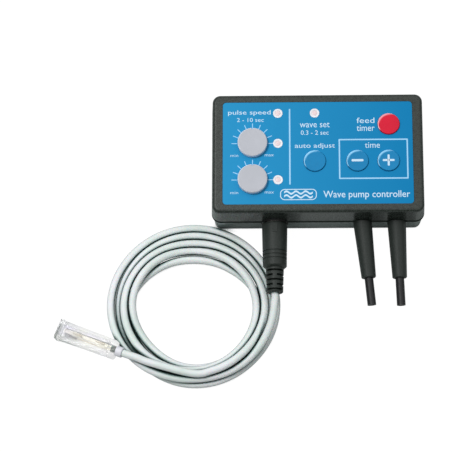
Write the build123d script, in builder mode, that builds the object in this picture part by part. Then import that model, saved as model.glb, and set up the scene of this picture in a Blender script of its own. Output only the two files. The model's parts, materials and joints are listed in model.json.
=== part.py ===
from build123d import *
import math
import os

os.makedirs("parts", exist_ok=True)

# Wave maker pump controller: a flat control box with a plugged-in light sensor lead and two pump leads.
# Millimetres. Origin: centre of the enclosure's underside. +Z out of the panel, -Y the cable side.

# Enclosure: both shells widen towards the seam, where the upper one overhangs the lower
CASE_X = 120.0
CASE_Y = 70.0
CASE_Z = 36.0
CASE_CORNER = 4.0
TOP_GROWTH = 0.8
SEAM_GROWTH = 2.8
LOWER_SEAM_GROWTH = 1.6
TOP_EDGE = 2.2
BOTTOM_EDGE = 1.2
SEAM_BEVEL = 0.45
SEAM_Z = 17.0
WALL = 2.4
ROOF = 2.6
FLOOR = 2.4
LIP_THICK = 1.0
LIP_HEIGHT = 1.6
FIT = 0.1
OUTER_WALL_Y = -(CASE_Y + SEAM_GROWTH) / 2
INNER_WALL_Y = -CASE_Y / 2 + WALL
ROOF_Z = CASE_Z - ROOF
BOSS_X = 54.4
BOSS_Y = 29.4
BOSS_D = 7.2
CASE_SCREW_D = 2.9
CASE_SCREW_LENGTH = 18.0
SCREW_SEAT_Z = 6.0
SCREW_WELL_D = 5.8
SCREW_HEAD_D = 5.2
SCREW_HEAD_H = 2.0

# Printed panel overlay in a shallow recess
PANEL_X = 109.0
PANEL_Y = 61.4
PANEL_CORNER = 2.0
PANEL_RECESS = 0.5
PANEL_THICK = 0.4
RECESS_Z = CASE_Z - PANEL_RECESS

# Controls, as panel positions
KNOBS = {"upper": (-37.4, 5.8), "lower": (-37.4, -16.1)}
BUTTONS = {
    "food": (40.9, 17.0),
    "auto": (-1.7, -5.05),
    "minus": (22.7, -5.05),
    "plus": (40.5, -5.05),
}
LED_SPOTS = [(-22.8, 24.0), (-22.8, 5.8), (-22.8, -16.1), (-1.6, 24.0)]
KNOB_D = 17.0
KNOB_HUB_D = 9.8
KNOB_HOLE_D = 10.6
KNOB_Z = 36.3
KNOB_TOP_Z = 39.2
KNOB_HUB_Z = 33.0
KNOB_EDGE = 0.5
SHAFT_D = 6.0
SHAFT_FLAT = 1.5
SHAFT_CLEAR = 0.05
SHAFT_TOP_Z = 38.2
BUTTON_D = 12.6
BUTTON_HOLE_D = 13.0
BUTTON_TOP_Z = 36.9
BUTTON_EDGE = 0.45
BUTTON_FLANGE_D = 14.6
BUTTON_FLANGE_Z = 32.0
BUTTON_FLANGE_H = 1.3
BUTTON_POST_D = 4.4
WINDOW_D = 5.5
WINDOW_STEM_D = 3.2

# Circuit board and what stands on it
BOARD_X = 112.0
BOARD_Y = 60.0
BOARD_Z = 22.4
BOARD_THICK = 1.6
BOARD_TOP = BOARD_Z + BOARD_THICK
BOARD_CORNER_CUT = 10.0
POSTS = [(-52.4, 16.0), (52.4, 16.0), (-52.4, -6.0), (52.4, -6.0)]
POST_D = 6.0
POST_SCREW_D = 2.1
POST_SCREW_LENGTH = 8.0
SOCKET_NOTCH_X = 18.0
SOCKET_NOTCH_Y = 16.0
SWITCH_SIDE = 6.0
SWITCH_H = 3.5
PLUNGER_D = 3.4
PLUNGER_TOP_Z = 30.0
PLUNGER_FOOT_Z = BOARD_TOP + 2.2
PRESS_TRAVEL = 0.3
POT_X = 9.8
POT_Y = 11.4
POT_H = 6.8
POT_TOP = BOARD_TOP + POT_H
BUSHING_D = 7.4
BUSHING_TOP_Z = 32.6

# Sensor socket and plug, on one axis through the cable-side wall at the seam
PLUG_X = -25.0
PLUG_Z = SEAM_Z
SOCKET_D = 15.6
SOCKET_COLLAR_D = 18.4
SOCKET_FRONT_Y = -36.7
SOCKET_CAVITY_Y = -25.4
SOCKET_BACK_Y = -19.0
SHIELD_OD = 14.4
SHIELD_ID = 13.4
CORE_D = 11.6
CORE_SETBACK = 2.0
PLUG_SHELL_OD = 13.2
PLUG_SHELL_ID = 12.0
PIN_CIRCLE_R = 3.5
PIN_ANGLES = [0, 45, 90, 135, 180]
PIN_D = 1.45
CONTACT_FRONT_Y = -33.4
CONTACT_BORE_END_Y = -26.4
CONTACT_TAIL = 2.6
CONTACT_TAIL_D = 1.2
CONTACT_ID = 1.55
CONTACT_OD = 2.3
PLUG_FACE_Y = -37.2
PLUG_SHELL_END_Y = -27.0
PLUG_PIN_END_Y = -27.6
PLUG_BODY_END_Y = -63.3
RELIEF_END_Y = -78.0
PLUG_D = 14.7
PLUG_BODY_END_D = 13.8
RELIEF_START_D = 10.4
RELIEF_END_D = 9.5

# Sensor cable: stations every eighth of a turn, clockwise from the coil's +X side, as (radius, height)
CABLE_D = 4.4
CABLE_BORE_D = 4.5
COIL_X = -72.1
COIL_Y = -81.7
COIL_STATIONS = [
    (47.1, 16.2), (45.6, 7.6), (44.2, 6.5), (46.8, 7.0), (48.2, 3.6), (47.2, 2.3), (46.4, 2.3), (46.8, 2.3),
    (47.9, 2.3), (47.0, 2.3), (46.4, 2.3), (44.4, 2.3), (43.4, 2.3), (42.6, 2.3), (41.9, 2.3), (42.2, 2.3),
    (43.2, 2.3), (42.5, 2.3), (41.6, 2.3), (39.5, 2.3), (37.6, 2.3), (30.8, 2.3), (27.4, 2.3), (30.4, 2.3),
    (38.2, 2.3), (37.6, 2.3), (37.0, 2.3), (34.8, 3.4), (35.4, 6.9), (34.0, 6.4), (32.6, 2.4), (33.2, 7.0),
    (36.2, 6.7), (37.6, 6.8), (39.3, 6.6), (40.4, 7.0), (40.2, 6.6), (38.4, 5.0), (37.2, 2.6), (38.1, 5.2),
    (41.0, 6.5), (41.3, 10.2), (41.8, 10.8), (42.2, 11.4),
]
EIGHTH = 45.0
POINTS_PER_EIGHTH = 3
LEAVE_ANGLE = -110.5
LEAVE_RADIUS = 41.8
LEAVE_EIGHTHS = 42.0
TAIL_HEIGHTS = [(10.0, 11.5), (19.0, 11.8)]

# Clear sensor capsule at the end of the cable, tipped down to rest on its front edge
CAPSULE_START = 31.0
CAPSULE_LENGTH = 37.0
CAPSULE_HEIGHT_AT_START = 10.5
CAPSULE_PITCH = 9.0
CAPSULE_TURN = 1.7
CAPSULE_WIDTH = 10.4
CAPSULE_DEPTH = 8.4
CAPSULE_FRONT_WIDTH = 11.2
CAPSULE_CORNER = 1.8
CAPSULE_WALL = 1.5
CAPSULE_SOLID_END = 5.0
CAP_WIDTH = 12.0
CAP_DEPTH = 9.2
CAP_THICK = 1.6
FERRULE_D = 6.0
FERRULE_LENGTH = 3.9

# Pump leads: moulded boots clamped in the wall at the seam
LEADS = {"left": (25.7, 5.6), "right": (45.35, 2.2)}
LEAD_DROOP = 4.0
BOOT_LENGTH = 32.8
BOOT_BASE_D = 10.8
BOOT_END_D = 8.4
BOOT_NECK_D = 9.3
BOOT_HOLE_D = 9.5
BOOT_FLANGE_D = 11.0
BOOT_INSIDE = 6.0
WALL_CLEARANCE = 0.03
JACKET_D = 5.0
JACKET_BORE_D = 3.8
JACKET_PAST_BOOT = 15.8
JACKET_INSIDE = 11.5
CORE_PAST_JACKET = 4.0
CORE_RECESS = 0.3
CORE_WIRE_D = 1.4
CORE_CIRCLE_R = 1.05
CORE_COUNT = 4


def save(builder, name):
    """Label a finished piece and write its file."""
    builder.part.label = name
    export_step(builder.part, f"parts/{name}.step")


def on_axis_y(x, z, y):
    """Sketch plane facing +Y at height z, with the sketch's x along +X."""
    return Plane(origin=(x, y, z), x_dir=(1, 0, 0), z_dir=(0, 1, 0))


def tube_y(x, z, start_y, end_y, diameter, mode=Mode.ADD):
    """Cylinder along Y between two Y values."""
    low = min(start_y, end_y)
    with BuildSketch(on_axis_y(x, z, low)) as outline:
        Circle(diameter / 2)
    extrude(outline.sketch, amount=abs(end_y - start_y), mode=mode)


def disc(x, y, low_z, high_z, diameter, mode=Mode.ADD):
    """Cylinder along Z between two heights."""
    with BuildSketch(Plane((x, y, low_z))) as outline:
        Circle(diameter / 2)
    extrude(outline.sketch, amount=high_z - low_z, mode=mode)


def block(x, y, low_z, high_z, size_x, size_y, mode=Mode.ADD):
    """Upright box centred on x, y between two heights."""
    with BuildSketch(Plane((x, y, low_z))) as outline:
        Rectangle(size_x, size_y)
    extrude(outline.sketch, amount=high_z - low_z, mode=mode)


def pin_spots(radius=PIN_CIRCLE_R):
    """Offsets (x, z) of the five contacts from the plug axis."""
    return [
        (radius * math.cos(math.radians(a)), radius * math.sin(math.radians(a)) - radius / 2)
        for a in PIN_ANGLES
    ]


# ---------------------------------------------------------------- enclosure
BOSSES = [(sx * BOSS_X, sy * BOSS_Y) for sx in (-1, 1) for sy in (-1, 1)]


def cut_wall_openings():
    """Round openings on the seam line for the sensor socket and the two boots."""
    tube_y(PLUG_X, PLUG_Z, OUTER_WALL_Y - 1, INNER_WALL_Y + 1, SOCKET_D + 2 * FIT, Mode.SUBTRACT)
    for lead_x, _ in LEADS.values():
        tube_y(lead_x, SEAM_Z, OUTER_WALL_Y - 1, INNER_WALL_Y + 1, BOOT_HOLE_D, Mode.SUBTRACT)


def drafted_block(low_z, low_growth, high_z, high_growth):
    """Case-shaped block, larger than the nominal case by a given amount at each end."""
    with BuildSketch(Plane.XY.offset(low_z)) as outline:
        RectangleRounded(CASE_X + low_growth, CASE_Y + low_growth, CASE_CORNER + low_growth / 2)
    draft = math.degrees(math.atan2((low_growth - high_growth) / 2, high_z - low_z))
    extrude(outline.sketch, amount=high_z - low_z, taper=draft)


with BuildPart() as top_shell:
    drafted_block(SEAM_Z, SEAM_GROWTH, CASE_Z, TOP_GROWTH)
    fillet(top_shell.faces().sort_by(Axis.Z)[-1].edges(), TOP_EDGE)
    chamfer(top_shell.faces().sort_by(Axis.Z)[0].edges(), SEAM_BEVEL)
    with BuildSketch(Plane.XY.offset(SEAM_Z)):
        RectangleRounded(CASE_X - 2 * WALL, CASE_Y - 2 * WALL, CASE_CORNER - WALL)
    extrude(amount=ROOF_Z - SEAM_Z, mode=Mode.SUBTRACT)
    with BuildSketch(Plane.XY.offset(SEAM_Z)):
        RectangleRounded(
            CASE_X - 2 * WALL + 2 * (LIP_THICK + FIT),
            CASE_Y - 2 * WALL + 2 * (LIP_THICK + FIT),
            CASE_CORNER - WALL + LIP_THICK,
        )
    extrude(amount=LIP_HEIGHT + FIT, mode=Mode.SUBTRACT)
    for boss_x, boss_y in BOSSES:
        disc(boss_x, boss_y, SEAM_Z, ROOF_Z, BOSS_D)
    for boss_x, boss_y in BOSSES:
        disc(boss_x, boss_y, SEAM_Z, ROOF_Z - 2, CASE_SCREW_D + FIT, Mode.SUBTRACT)
    for post_x, post_y in POSTS:
        disc(post_x, post_y, BOARD_TOP, ROOF_Z, POST_D)
        disc(post_x, post_y, BOARD_TOP, ROOF_Z - 1.5, POST_SCREW_D + FIT, Mode.SUBTRACT)
    with BuildSketch(Plane.XY.offset(RECESS_Z)):
        RectangleRounded(PANEL_X + 2 * FIT, PANEL_Y + 2 * FIT, PANEL_CORNER)
    extrude(amount=PANEL_RECESS, mode=Mode.SUBTRACT)
    for knob_x, knob_y in KNOBS.values():
        disc(knob_x, knob_y, ROOF_Z - 1, CASE_Z, KNOB_HOLE_D, Mode.SUBTRACT)
    for button_x, button_y in BUTTONS.values():
        disc(button_x, button_y, ROOF_Z - 1, CASE_Z, BUTTON_HOLE_D, Mode.SUBTRACT)
    for led_x, led_y in LED_SPOTS:
        disc(led_x, led_y, ROOF_Z - 1, CASE_Z, WINDOW_STEM_D + 2 * FIT, Mode.SUBTRACT)
    cut_wall_openings()
save(top_shell, "top_shell")

with BuildPart() as bottom_shell:
    drafted_block(0, 0, SEAM_Z, LOWER_SEAM_GROWTH)
    fillet(bottom_shell.faces().sort_by(Axis.Z)[0].edges(), BOTTOM_EDGE)
    chamfer(bottom_shell.faces().sort_by(Axis.Z)[-1].edges(), SEAM_BEVEL)
    with BuildSketch(Plane.XY.offset(SEAM_Z)):
        RectangleRounded(
            CASE_X - 2 * WALL + 2 * LIP_THICK,
            CASE_Y - 2 * WALL + 2 * LIP_THICK,
            CASE_CORNER - WALL + LIP_THICK,
        )
    extrude(amount=LIP_HEIGHT)
    with BuildSketch(Plane.XY.offset(FLOOR)):
        RectangleRounded(CASE_X - 2 * WALL, CASE_Y - 2 * WALL, CASE_CORNER - WALL)
    extrude(amount=SEAM_Z + LIP_HEIGHT - FLOOR, mode=Mode.SUBTRACT)
    for boss_x, boss_y in BOSSES:
        disc(boss_x, boss_y, FLOOR, SEAM_Z, BOSS_D)
        disc(boss_x, boss_y, SEAM_Z, SEAM_Z + LIP_HEIGHT, BOSS_D + 2 * FIT, Mode.SUBTRACT)
    for boss_x, boss_y in BOSSES:
        disc(boss_x, boss_y, 0, SEAM_Z, CASE_SCREW_D + 2 * FIT, Mode.SUBTRACT)
        disc(boss_x, boss_y, 0, SCREW_SEAT_Z, SCREW_WELL_D, Mode.SUBTRACT)
    cut_wall_openings()
save(bottom_shell, "bottom_shell")


def screws(spots, seat_z, head_d, head_h, shank_d, length):
    """Pan-head screws driven upwards from seat_z, each with a cross recess."""
    for screw_x, screw_y in spots:
        disc(screw_x, screw_y, seat_z - head_h, seat_z, head_d)
        disc(screw_x, screw_y, seat_z, seat_z + length, shank_d)
        for arm_x, arm_y in ((head_d * 0.55, head_d * 0.14), (head_d * 0.14, head_d * 0.55)):
            block(
                screw_x,
                screw_y,
                seat_z - head_h,
                seat_z - head_h * 0.45,
                arm_x,
                arm_y,
                Mode.SUBTRACT,
            )


with BuildPart() as case_screws:
    screws(BOSSES, SCREW_SEAT_Z, SCREW_HEAD_D, SCREW_HEAD_H, CASE_SCREW_D, CASE_SCREW_LENGTH)
save(case_screws, "case_screws")

with BuildPart() as front_panel:
    with BuildSketch(Plane.XY.offset(RECESS_Z)):
        RectangleRounded(PANEL_X, PANEL_Y, PANEL_CORNER)
        with Locations(*KNOBS.values()):
            Circle(KNOB_HOLE_D / 2, mode=Mode.SUBTRACT)
        with Locations(*BUTTONS.values()):
            Circle(BUTTON_HOLE_D / 2, mode=Mode.SUBTRACT)
        with Locations(*LED_SPOTS):
            Circle(WINDOW_D / 2 + FIT / 2, mode=Mode.SUBTRACT)
    extrude(amount=PANEL_THICK)
save(front_panel, "front_panel")

with BuildPart() as led_windows:
    for led_x, led_y in LED_SPOTS:
        disc(led_x, led_y, RECESS_Z, RECESS_Z + PANEL_THICK, WINDOW_D)
        disc(led_x, led_y, ROOF_Z + 0.2, RECESS_Z, WINDOW_STEM_D)
save(led_windows, "led_windows")

# ---------------------------------------------------------------- push buttons
for button_name, (button_x, button_y) in BUTTONS.items():
    with BuildPart() as button:
        flange_top = BUTTON_FLANGE_Z + BUTTON_FLANGE_H
        disc(button_x, button_y, flange_top, BUTTON_TOP_Z, BUTTON_D)
        fillet(button.faces().sort_by(Axis.Z)[-1].edges(), BUTTON_EDGE)
        disc(button_x, button_y, BUTTON_FLANGE_Z, flange_top, BUTTON_FLANGE_D)
        disc(button_x, button_y, BUTTON_FLANGE_Z, BUTTON_TOP_Z - 1.4, BUTTON_D - 2.4, Mode.SUBTRACT)
        disc(button_x, button_y, PLUNGER_TOP_Z, BUTTON_TOP_Z - 1.4, BUTTON_POST_D)
    save(button, f"{button_name}_button")
    with BuildPart() as plunger:
        disc(button_x, button_y, PLUNGER_FOOT_Z, PLUNGER_TOP_Z, PLUNGER_D)
    save(plunger, f"{button_name}_plunger")

SWITCH_TOP = BOARD_TOP + SWITCH_H
with BuildPart() as tact_switches:
    for button_x, button_y in BUTTONS.values():
        block(button_x, button_y, BOARD_TOP, SWITCH_TOP - 0.3, SWITCH_SIDE, SWITCH_SIDE)
        well_foot = PLUNGER_FOOT_Z - PRESS_TRAVEL - 0.2
        disc(button_x, button_y, well_foot, SWITCH_TOP, PLUNGER_D + 2 * FIT, Mode.SUBTRACT)
save(tact_switches, "tact_switches")

with BuildPart() as switch_covers:
    for button_x, button_y in BUTTONS.values():
        block(button_x, button_y, SWITCH_TOP - 0.3, SWITCH_TOP, SWITCH_SIDE, SWITCH_SIDE)
        disc(button_x, button_y, SWITCH_TOP - 0.3, SWITCH_TOP, PLUNGER_D + 4 * FIT, Mode.SUBTRACT)
save(switch_covers, "switch_covers")

# ---------------------------------------------------------------- knobs and potentiometers
for knob_name, (knob_x, knob_y) in KNOBS.items():
    with BuildPart() as knob:
        disc(knob_x, knob_y, KNOB_Z, KNOB_TOP_Z, KNOB_D)
        fillet(knob.faces().sort_by(Axis.Z)[-1].edges(), KNOB_EDGE)
        block(
            knob_x, knob_y + KNOB_D / 2 - 0.4, KNOB_Z + 0.8, KNOB_TOP_Z, 0.9, 1.0, Mode.SUBTRACT
        )
        disc(knob_x, knob_y, KNOB_HUB_Z, KNOB_Z, KNOB_HUB_D)
        with BuildSketch(Plane((knob_x, knob_y, KNOB_HUB_Z))):
            Circle(SHAFT_D / 2 + SHAFT_CLEAR)
            with Locations((0, SHAFT_D - SHAFT_FLAT + SHAFT_CLEAR)):
                Rectangle(SHAFT_D + 1, SHAFT_D, mode=Mode.SUBTRACT)
        extrude(amount=SHAFT_TOP_Z + 0.1 - KNOB_HUB_Z, mode=Mode.SUBTRACT)
    save(knob, f"{knob_name}_knob")
    with BuildPart() as shaft:
        disc(knob_x, knob_y, POT_TOP - 1.4, KNOB_HUB_Z - 0.1, SHAFT_D)
        with BuildSketch(Plane((knob_x, knob_y, KNOB_HUB_Z - 0.1))):
            Circle(SHAFT_D / 2)
            with Locations((0, SHAFT_D - SHAFT_FLAT)):
                Rectangle(SHAFT_D + 1, SHAFT_D, mode=Mode.SUBTRACT)
        extrude(amount=SHAFT_TOP_Z - KNOB_HUB_Z + 0.1)
    save(shaft, f"{knob_name}_pot_shaft")
    with BuildPart() as pot:
        block(knob_x, knob_y, BOARD_TOP, POT_TOP, POT_X, POT_Y)
        chamfer(pot.edges().filter_by(Axis.Z), 0.8)
        disc(knob_x, knob_y, POT_TOP - 1.6, POT_TOP, SHAFT_D + 2 * FIT, Mode.SUBTRACT)
    save(pot, f"{knob_name}_pot_body")

with BuildPart() as pot_bushings:
    for knob_x, knob_y in KNOBS.values():
        disc(knob_x, knob_y, POT_TOP, POT_TOP + 0.6, BUSHING_D + 1.6)
        disc(knob_x, knob_y, POT_TOP + 0.6, BUSHING_TOP_Z, BUSHING_D)
        disc(knob_x, knob_y, POT_TOP, BUSHING_TOP_Z, SHAFT_D + 2 * SHAFT_CLEAR, Mode.SUBTRACT)
save(pot_bushings, "pot_bushings")

POT_PIN_PITCH = 2.5
POT_PIN_OFFSET = 7.0
POT_PIN_X = 0.8
POT_PIN_Y = 0.5
POT_PIN_TOP = BOARD_TOP + 3.4
PIN_BELOW_BOARD = 1.2
POT_PINS = [
    (knob_x + step * POT_PIN_PITCH, knob_y - POT_PIN_OFFSET)
    for knob_x, knob_y in KNOBS.values()
    for step in (-1, 0, 1)
]
with BuildPart() as pot_pins:
    for pin_x, pin_y in POT_PINS:
        block(pin_x, pin_y, BOARD_Z - PIN_BELOW_BOARD, POT_PIN_TOP, POT_PIN_X, POT_PIN_Y)
        block(pin_x, pin_y + 0.4, POT_PIN_TOP - 0.6, POT_PIN_TOP, POT_PIN_X, 1.3)
save(pot_pins, "pot_pins")

# ---------------------------------------------------------------- circuit board
LED_LEG_GAP = 2.54
LED_LEG_SIDE = 0.5
LED_LEGS = [(x + side * LED_LEG_GAP / 2, y) for x, y in LED_SPOTS for side in (-1, 1)]
with BuildPart() as circuit_board:
    with BuildSketch(Plane.XY.offset(BOARD_Z)):
        Rectangle(BOARD_X, BOARD_Y)
        with GridLocations(BOARD_X, BOARD_Y, 2, 2):
            Rectangle(2 * BOARD_CORNER_CUT, 2 * BOARD_CORNER_CUT, mode=Mode.SUBTRACT)
        with Locations((PLUG_X, -BOARD_Y / 2 + SOCKET_NOTCH_Y / 2)):
            Rectangle(SOCKET_NOTCH_X, SOCKET_NOTCH_Y, mode=Mode.SUBTRACT)
        with Locations(*POSTS):
            Circle(POST_SCREW_D / 2 + FIT, mode=Mode.SUBTRACT)
        with Locations(*LED_LEGS):
            Rectangle(LED_LEG_SIDE + 2 * FIT, LED_LEG_SIDE + 2 * FIT, mode=Mode.SUBTRACT)
        with Locations(*POT_PINS):
            Rectangle(POT_PIN_X + 2 * FIT, POT_PIN_Y + 2 * FIT, mode=Mode.SUBTRACT)
    extrude(amount=BOARD_THICK)
save(circuit_board, "circuit_board")

with BuildPart() as board_screws:
    screws(POSTS, BOARD_Z, 4.4, 1.6, POST_SCREW_D, POST_SCREW_LENGTH)
save(board_screws, "board_screws")

LED_FLANGE_Z = BOARD_TOP + 4.2
with BuildPart() as indicator_leds:
    for led_x, led_y in LED_SPOTS:
        disc(led_x, led_y, LED_FLANGE_Z, LED_FLANGE_Z + 1.0, 3.8)
        disc(led_x, led_y, LED_FLANGE_Z + 1.0, ROOF_Z - 0.2, 3.0)
    fillet(indicator_leds.faces().sort_by(Axis.Z)[-4:].edges(), 1.2)
save(indicator_leds, "indicator_leds")

with BuildPart() as led_legs:
    for leg_x, leg_y in LED_LEGS:
        block(leg_x, leg_y, BOARD_Z - PIN_BELOW_BOARD, LED_FLANGE_Z, LED_LEG_SIDE, LED_LEG_SIDE)
save(led_legs, "led_legs")

with BuildPart() as led_spacers:
    for led_x, led_y in LED_SPOTS:
        disc(led_x, led_y, BOARD_TOP, LED_FLANGE_Z - FIT, 4.6)
    for leg_x, leg_y in LED_LEGS:
        block(leg_x, leg_y, BOARD_TOP, LED_FLANGE_Z, 0.7, 0.7, Mode.SUBTRACT)
save(led_spacers, "led_spacers")

CHIP_X, CHIP_Y = 16.0, 13.6
CHIP_PINS = 14
CHIP_PITCH = 2.54
CHIP_ROW_GAP = 7.62
CHIP_LENGTH = 35.4
CHIP_TOP = BOARD_TOP + 6.0
with BuildPart() as chip_socket:
    block(CHIP_X, CHIP_Y, BOARD_TOP, BOARD_TOP + 2.4, 36.0, 9.6)
    block(CHIP_X, CHIP_Y, BOARD_TOP, BOARD_TOP + 2.4, 33.0, 4.4, Mode.SUBTRACT)
    with BuildSketch(Plane((CHIP_X, CHIP_Y, BOARD_TOP + 1.0))):
        with GridLocations(CHIP_PITCH, CHIP_ROW_GAP, CHIP_PINS, 2):
            Rectangle(1.0, 1.0)
    extrude(amount=1.4, mode=Mode.SUBTRACT)
save(chip_socket, "chip_socket")

with BuildPart() as microcontroller:
    block(CHIP_X, CHIP_Y, BOARD_TOP + 2.7, CHIP_TOP, CHIP_LENGTH, 6.8)
    chamfer(microcontroller.faces().sort_by(Axis.Z)[-1].edges(), 0.4)
    disc(CHIP_X - CHIP_LENGTH / 2, CHIP_Y, CHIP_TOP - 0.8, CHIP_TOP, 2.4, Mode.SUBTRACT)
    with BuildSketch(Plane((CHIP_X, CHIP_Y, BOARD_TOP + 1.3))):
        with GridLocations(CHIP_PITCH, CHIP_ROW_GAP, CHIP_PINS, 2):
            Rectangle(0.5, 0.3)
    extrude(amount=3.2)
    with BuildSketch(Plane((CHIP_X, CHIP_Y, BOARD_TOP + 4.2))):
        with GridLocations(CHIP_PITCH, 7.2, CHIP_PINS, 2):
            Rectangle(1.2, 1.12)
    extrude(amount=0.3)
save(microcontroller, "microcontroller")

CRYSTAL_X, CRYSTAL_Y = -9.0, 12.0
with BuildPart() as crystal:
    with BuildSketch(Plane((CRYSTAL_X, CRYSTAL_Y, BOARD_TOP))):
        SlotOverall(11.0, 4.6)
    extrude(amount=3.5)
    fillet(crystal.faces().sort_by(Axis.Z)[-1].edges(), 0.6)
save(crystal, "crystal")

RESISTOR_PITCH = 4.0
RESISTOR_ROW = [(8.0 + RESISTOR_PITCH * i, 24.5) for i in range(5)]
RESISTOR_COLUMN = [(-14.0, -8.0 - RESISTOR_PITCH * i) for i in range(5)]
with BuildPart() as resistors:
    for res_x, res_y in RESISTOR_ROW + RESISTOR_COLUMN:
        middle_z = BOARD_TOP + 1.5
        tube_y(res_x, middle_z, res_y - 1.6, res_y + 1.6, 1.9)
        for end in (-1, 1):
            tube_y(res_x, middle_z, res_y + end * 1.0, res_y + end * 1.7, 2.3)
save(resistors, "resistors")

CAN_SPOTS = [(2.0, -22.0), (12.0, -22.0)]
CAN_D = 8.0
CAN_H = 12.0
with BuildPart() as filter_capacitors:
    for can_x, can_y in CAN_SPOTS:
        disc(can_x, can_y, BOARD_Z - CAN_H, BOARD_Z, CAN_D)
    fillet(filter_capacitors.faces().sort_by(Axis.Z)[0:2].edges(), 0.8)
save(filter_capacitors, "filter_capacitors")

REGULATOR_X, REGULATOR_Y = 2.0, 4.0
REGULATOR_WIDTH = 10.0
REGULATOR_TAB = 1.3
with BuildPart() as voltage_regulator:
    block(REGULATOR_X, REGULATOR_Y, BOARD_Z - 4.4, BOARD_Z, REGULATOR_WIDTH, 9.0)
    block(REGULATOR_X, REGULATOR_Y + 6.6, BOARD_Z - REGULATOR_TAB, BOARD_Z, REGULATOR_WIDTH, 6.4)
    disc(REGULATOR_X, REGULATOR_Y + 7.4, BOARD_Z - REGULATOR_TAB, BOARD_Z, 3.6, Mode.SUBTRACT)
save(voltage_regulator, "voltage_regulator")

# ---------------------------------------------------------------- sensor socket in the wall
with BuildPart() as socket_housing:
    tube_y(PLUG_X, PLUG_Z, SOCKET_FRONT_Y, SOCKET_BACK_Y, SOCKET_D)
    tube_y(PLUG_X, PLUG_Z, INNER_WALL_Y + FIT, INNER_WALL_Y + 2.1, SOCKET_COLLAR_D)
    tube_y(PLUG_X, PLUG_Z, SOCKET_FRONT_Y, SOCKET_CAVITY_Y, SHIELD_OD, Mode.SUBTRACT)
    tube_y(PLUG_X, PLUG_Z, SOCKET_FRONT_Y + CORE_SETBACK, SOCKET_CAVITY_Y, CORE_D)
    for pin_x, pin_z in pin_spots():
        hole_x, hole_z = PLUG_X + pin_x, PLUG_Z + pin_z
        tube_y(hole_x, hole_z, CONTACT_FRONT_Y, SOCKET_BACK_Y, CONTACT_OD + 2 * FIT, Mode.SUBTRACT)
        tube_y(hole_x, hole_z, SOCKET_FRONT_Y, CONTACT_FRONT_Y, PIN_D + 2 * FIT, Mode.SUBTRACT)
save(socket_housing, "socket_housing")

with BuildPart() as socket_shield:
    shield_back = SOCKET_CAVITY_Y - FIT
    tube_y(PLUG_X, PLUG_Z, SOCKET_FRONT_Y + 0.3, shield_back, SHIELD_OD - FIT)
    tube_y(PLUG_X, PLUG_Z, SOCKET_FRONT_Y, shield_back, SHIELD_ID, Mode.SUBTRACT)
save(socket_shield, "socket_shield")

with BuildPart() as socket_contacts:
    for pin_x, pin_z in pin_spots():
        hole_x, hole_z = PLUG_X + pin_x, PLUG_Z + pin_z
        tube_y(hole_x, hole_z, CONTACT_FRONT_Y + FIT, SOCKET_BACK_Y, CONTACT_OD)
        tube_y(hole_x, hole_z, CONTACT_FRONT_Y, CONTACT_BORE_END_Y, CONTACT_ID, Mode.SUBTRACT)
        tube_y(hole_x, hole_z, SOCKET_BACK_Y, SOCKET_BACK_Y + CONTACT_TAIL, CONTACT_TAIL_D)
save(socket_contacts, "socket_contacts")

HEADER_Y = -9.0
with BuildPart() as sensor_header:
    block(PLUG_X, HEADER_Y, BOARD_Z - 7.5, BOARD_Z, 8.0, 5.0)
save(sensor_header, "sensor_header")

WIRE_D = 1.2
WIRE_START_Y = SOCKET_BACK_Y + CONTACT_TAIL + 0.05
WIRE_END_Y = HEADER_Y - 2.55
with BuildPart() as sensor_wires:
    for side, (pin_x, pin_z) in ((-1, pin_spots()[4]), (1, pin_spots()[0])):
        start = (PLUG_X + pin_x, WIRE_START_Y, PLUG_Z + pin_z)
        finish = (PLUG_X + side * 2.0, WIRE_END_Y, PLUG_Z + 1.2)
        with BuildLine() as wire_path:
            Spline(start, finish, tangents=[(0, 1, 0), (0, 1, 0)])
        with BuildSketch(Plane(origin=start, z_dir=(0, 1, 0))):
            Circle(WIRE_D / 2)
        sweep(path=wire_path.line)
save(sensor_wires, "sensor_wires")

# ---------------------------------------------------------------- sensor plug
with BuildPart() as plug_shell:
    tube_y(PLUG_X, PLUG_Z, PLUG_FACE_Y, PLUG_SHELL_END_Y, PLUG_SHELL_OD)
    tube_y(PLUG_X, PLUG_Z, PLUG_FACE_Y, PLUG_SHELL_END_Y, PLUG_SHELL_ID, Mode.SUBTRACT)
save(plug_shell, "plug_shell")

with BuildPart() as plug_insulator:
    tube_y(PLUG_X, PLUG_Z, PLUG_FACE_Y, PLUG_FACE_Y + 1.4, PLUG_SHELL_ID - 0.02)
    for pin_x, pin_z in pin_spots():
        hole_x, hole_z = PLUG_X + pin_x, PLUG_Z + pin_z
        tube_y(hole_x, hole_z, PLUG_FACE_Y - 1, PLUG_FACE_Y + 2, PIN_D + 0.02, Mode.SUBTRACT)
save(plug_insulator, "plug_insulator")

with BuildPart() as plug_pins:
    for pin_x, pin_z in pin_spots():
        tube_y(PLUG_X + pin_x, PLUG_Z + pin_z, PLUG_FACE_Y + 0.01, PLUG_PIN_END_Y, PIN_D)
    fillet(plug_pins.faces().sort_by(Axis.Y)[-5:].edges(), 0.5)
save(plug_pins, "plug_pins")

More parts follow.
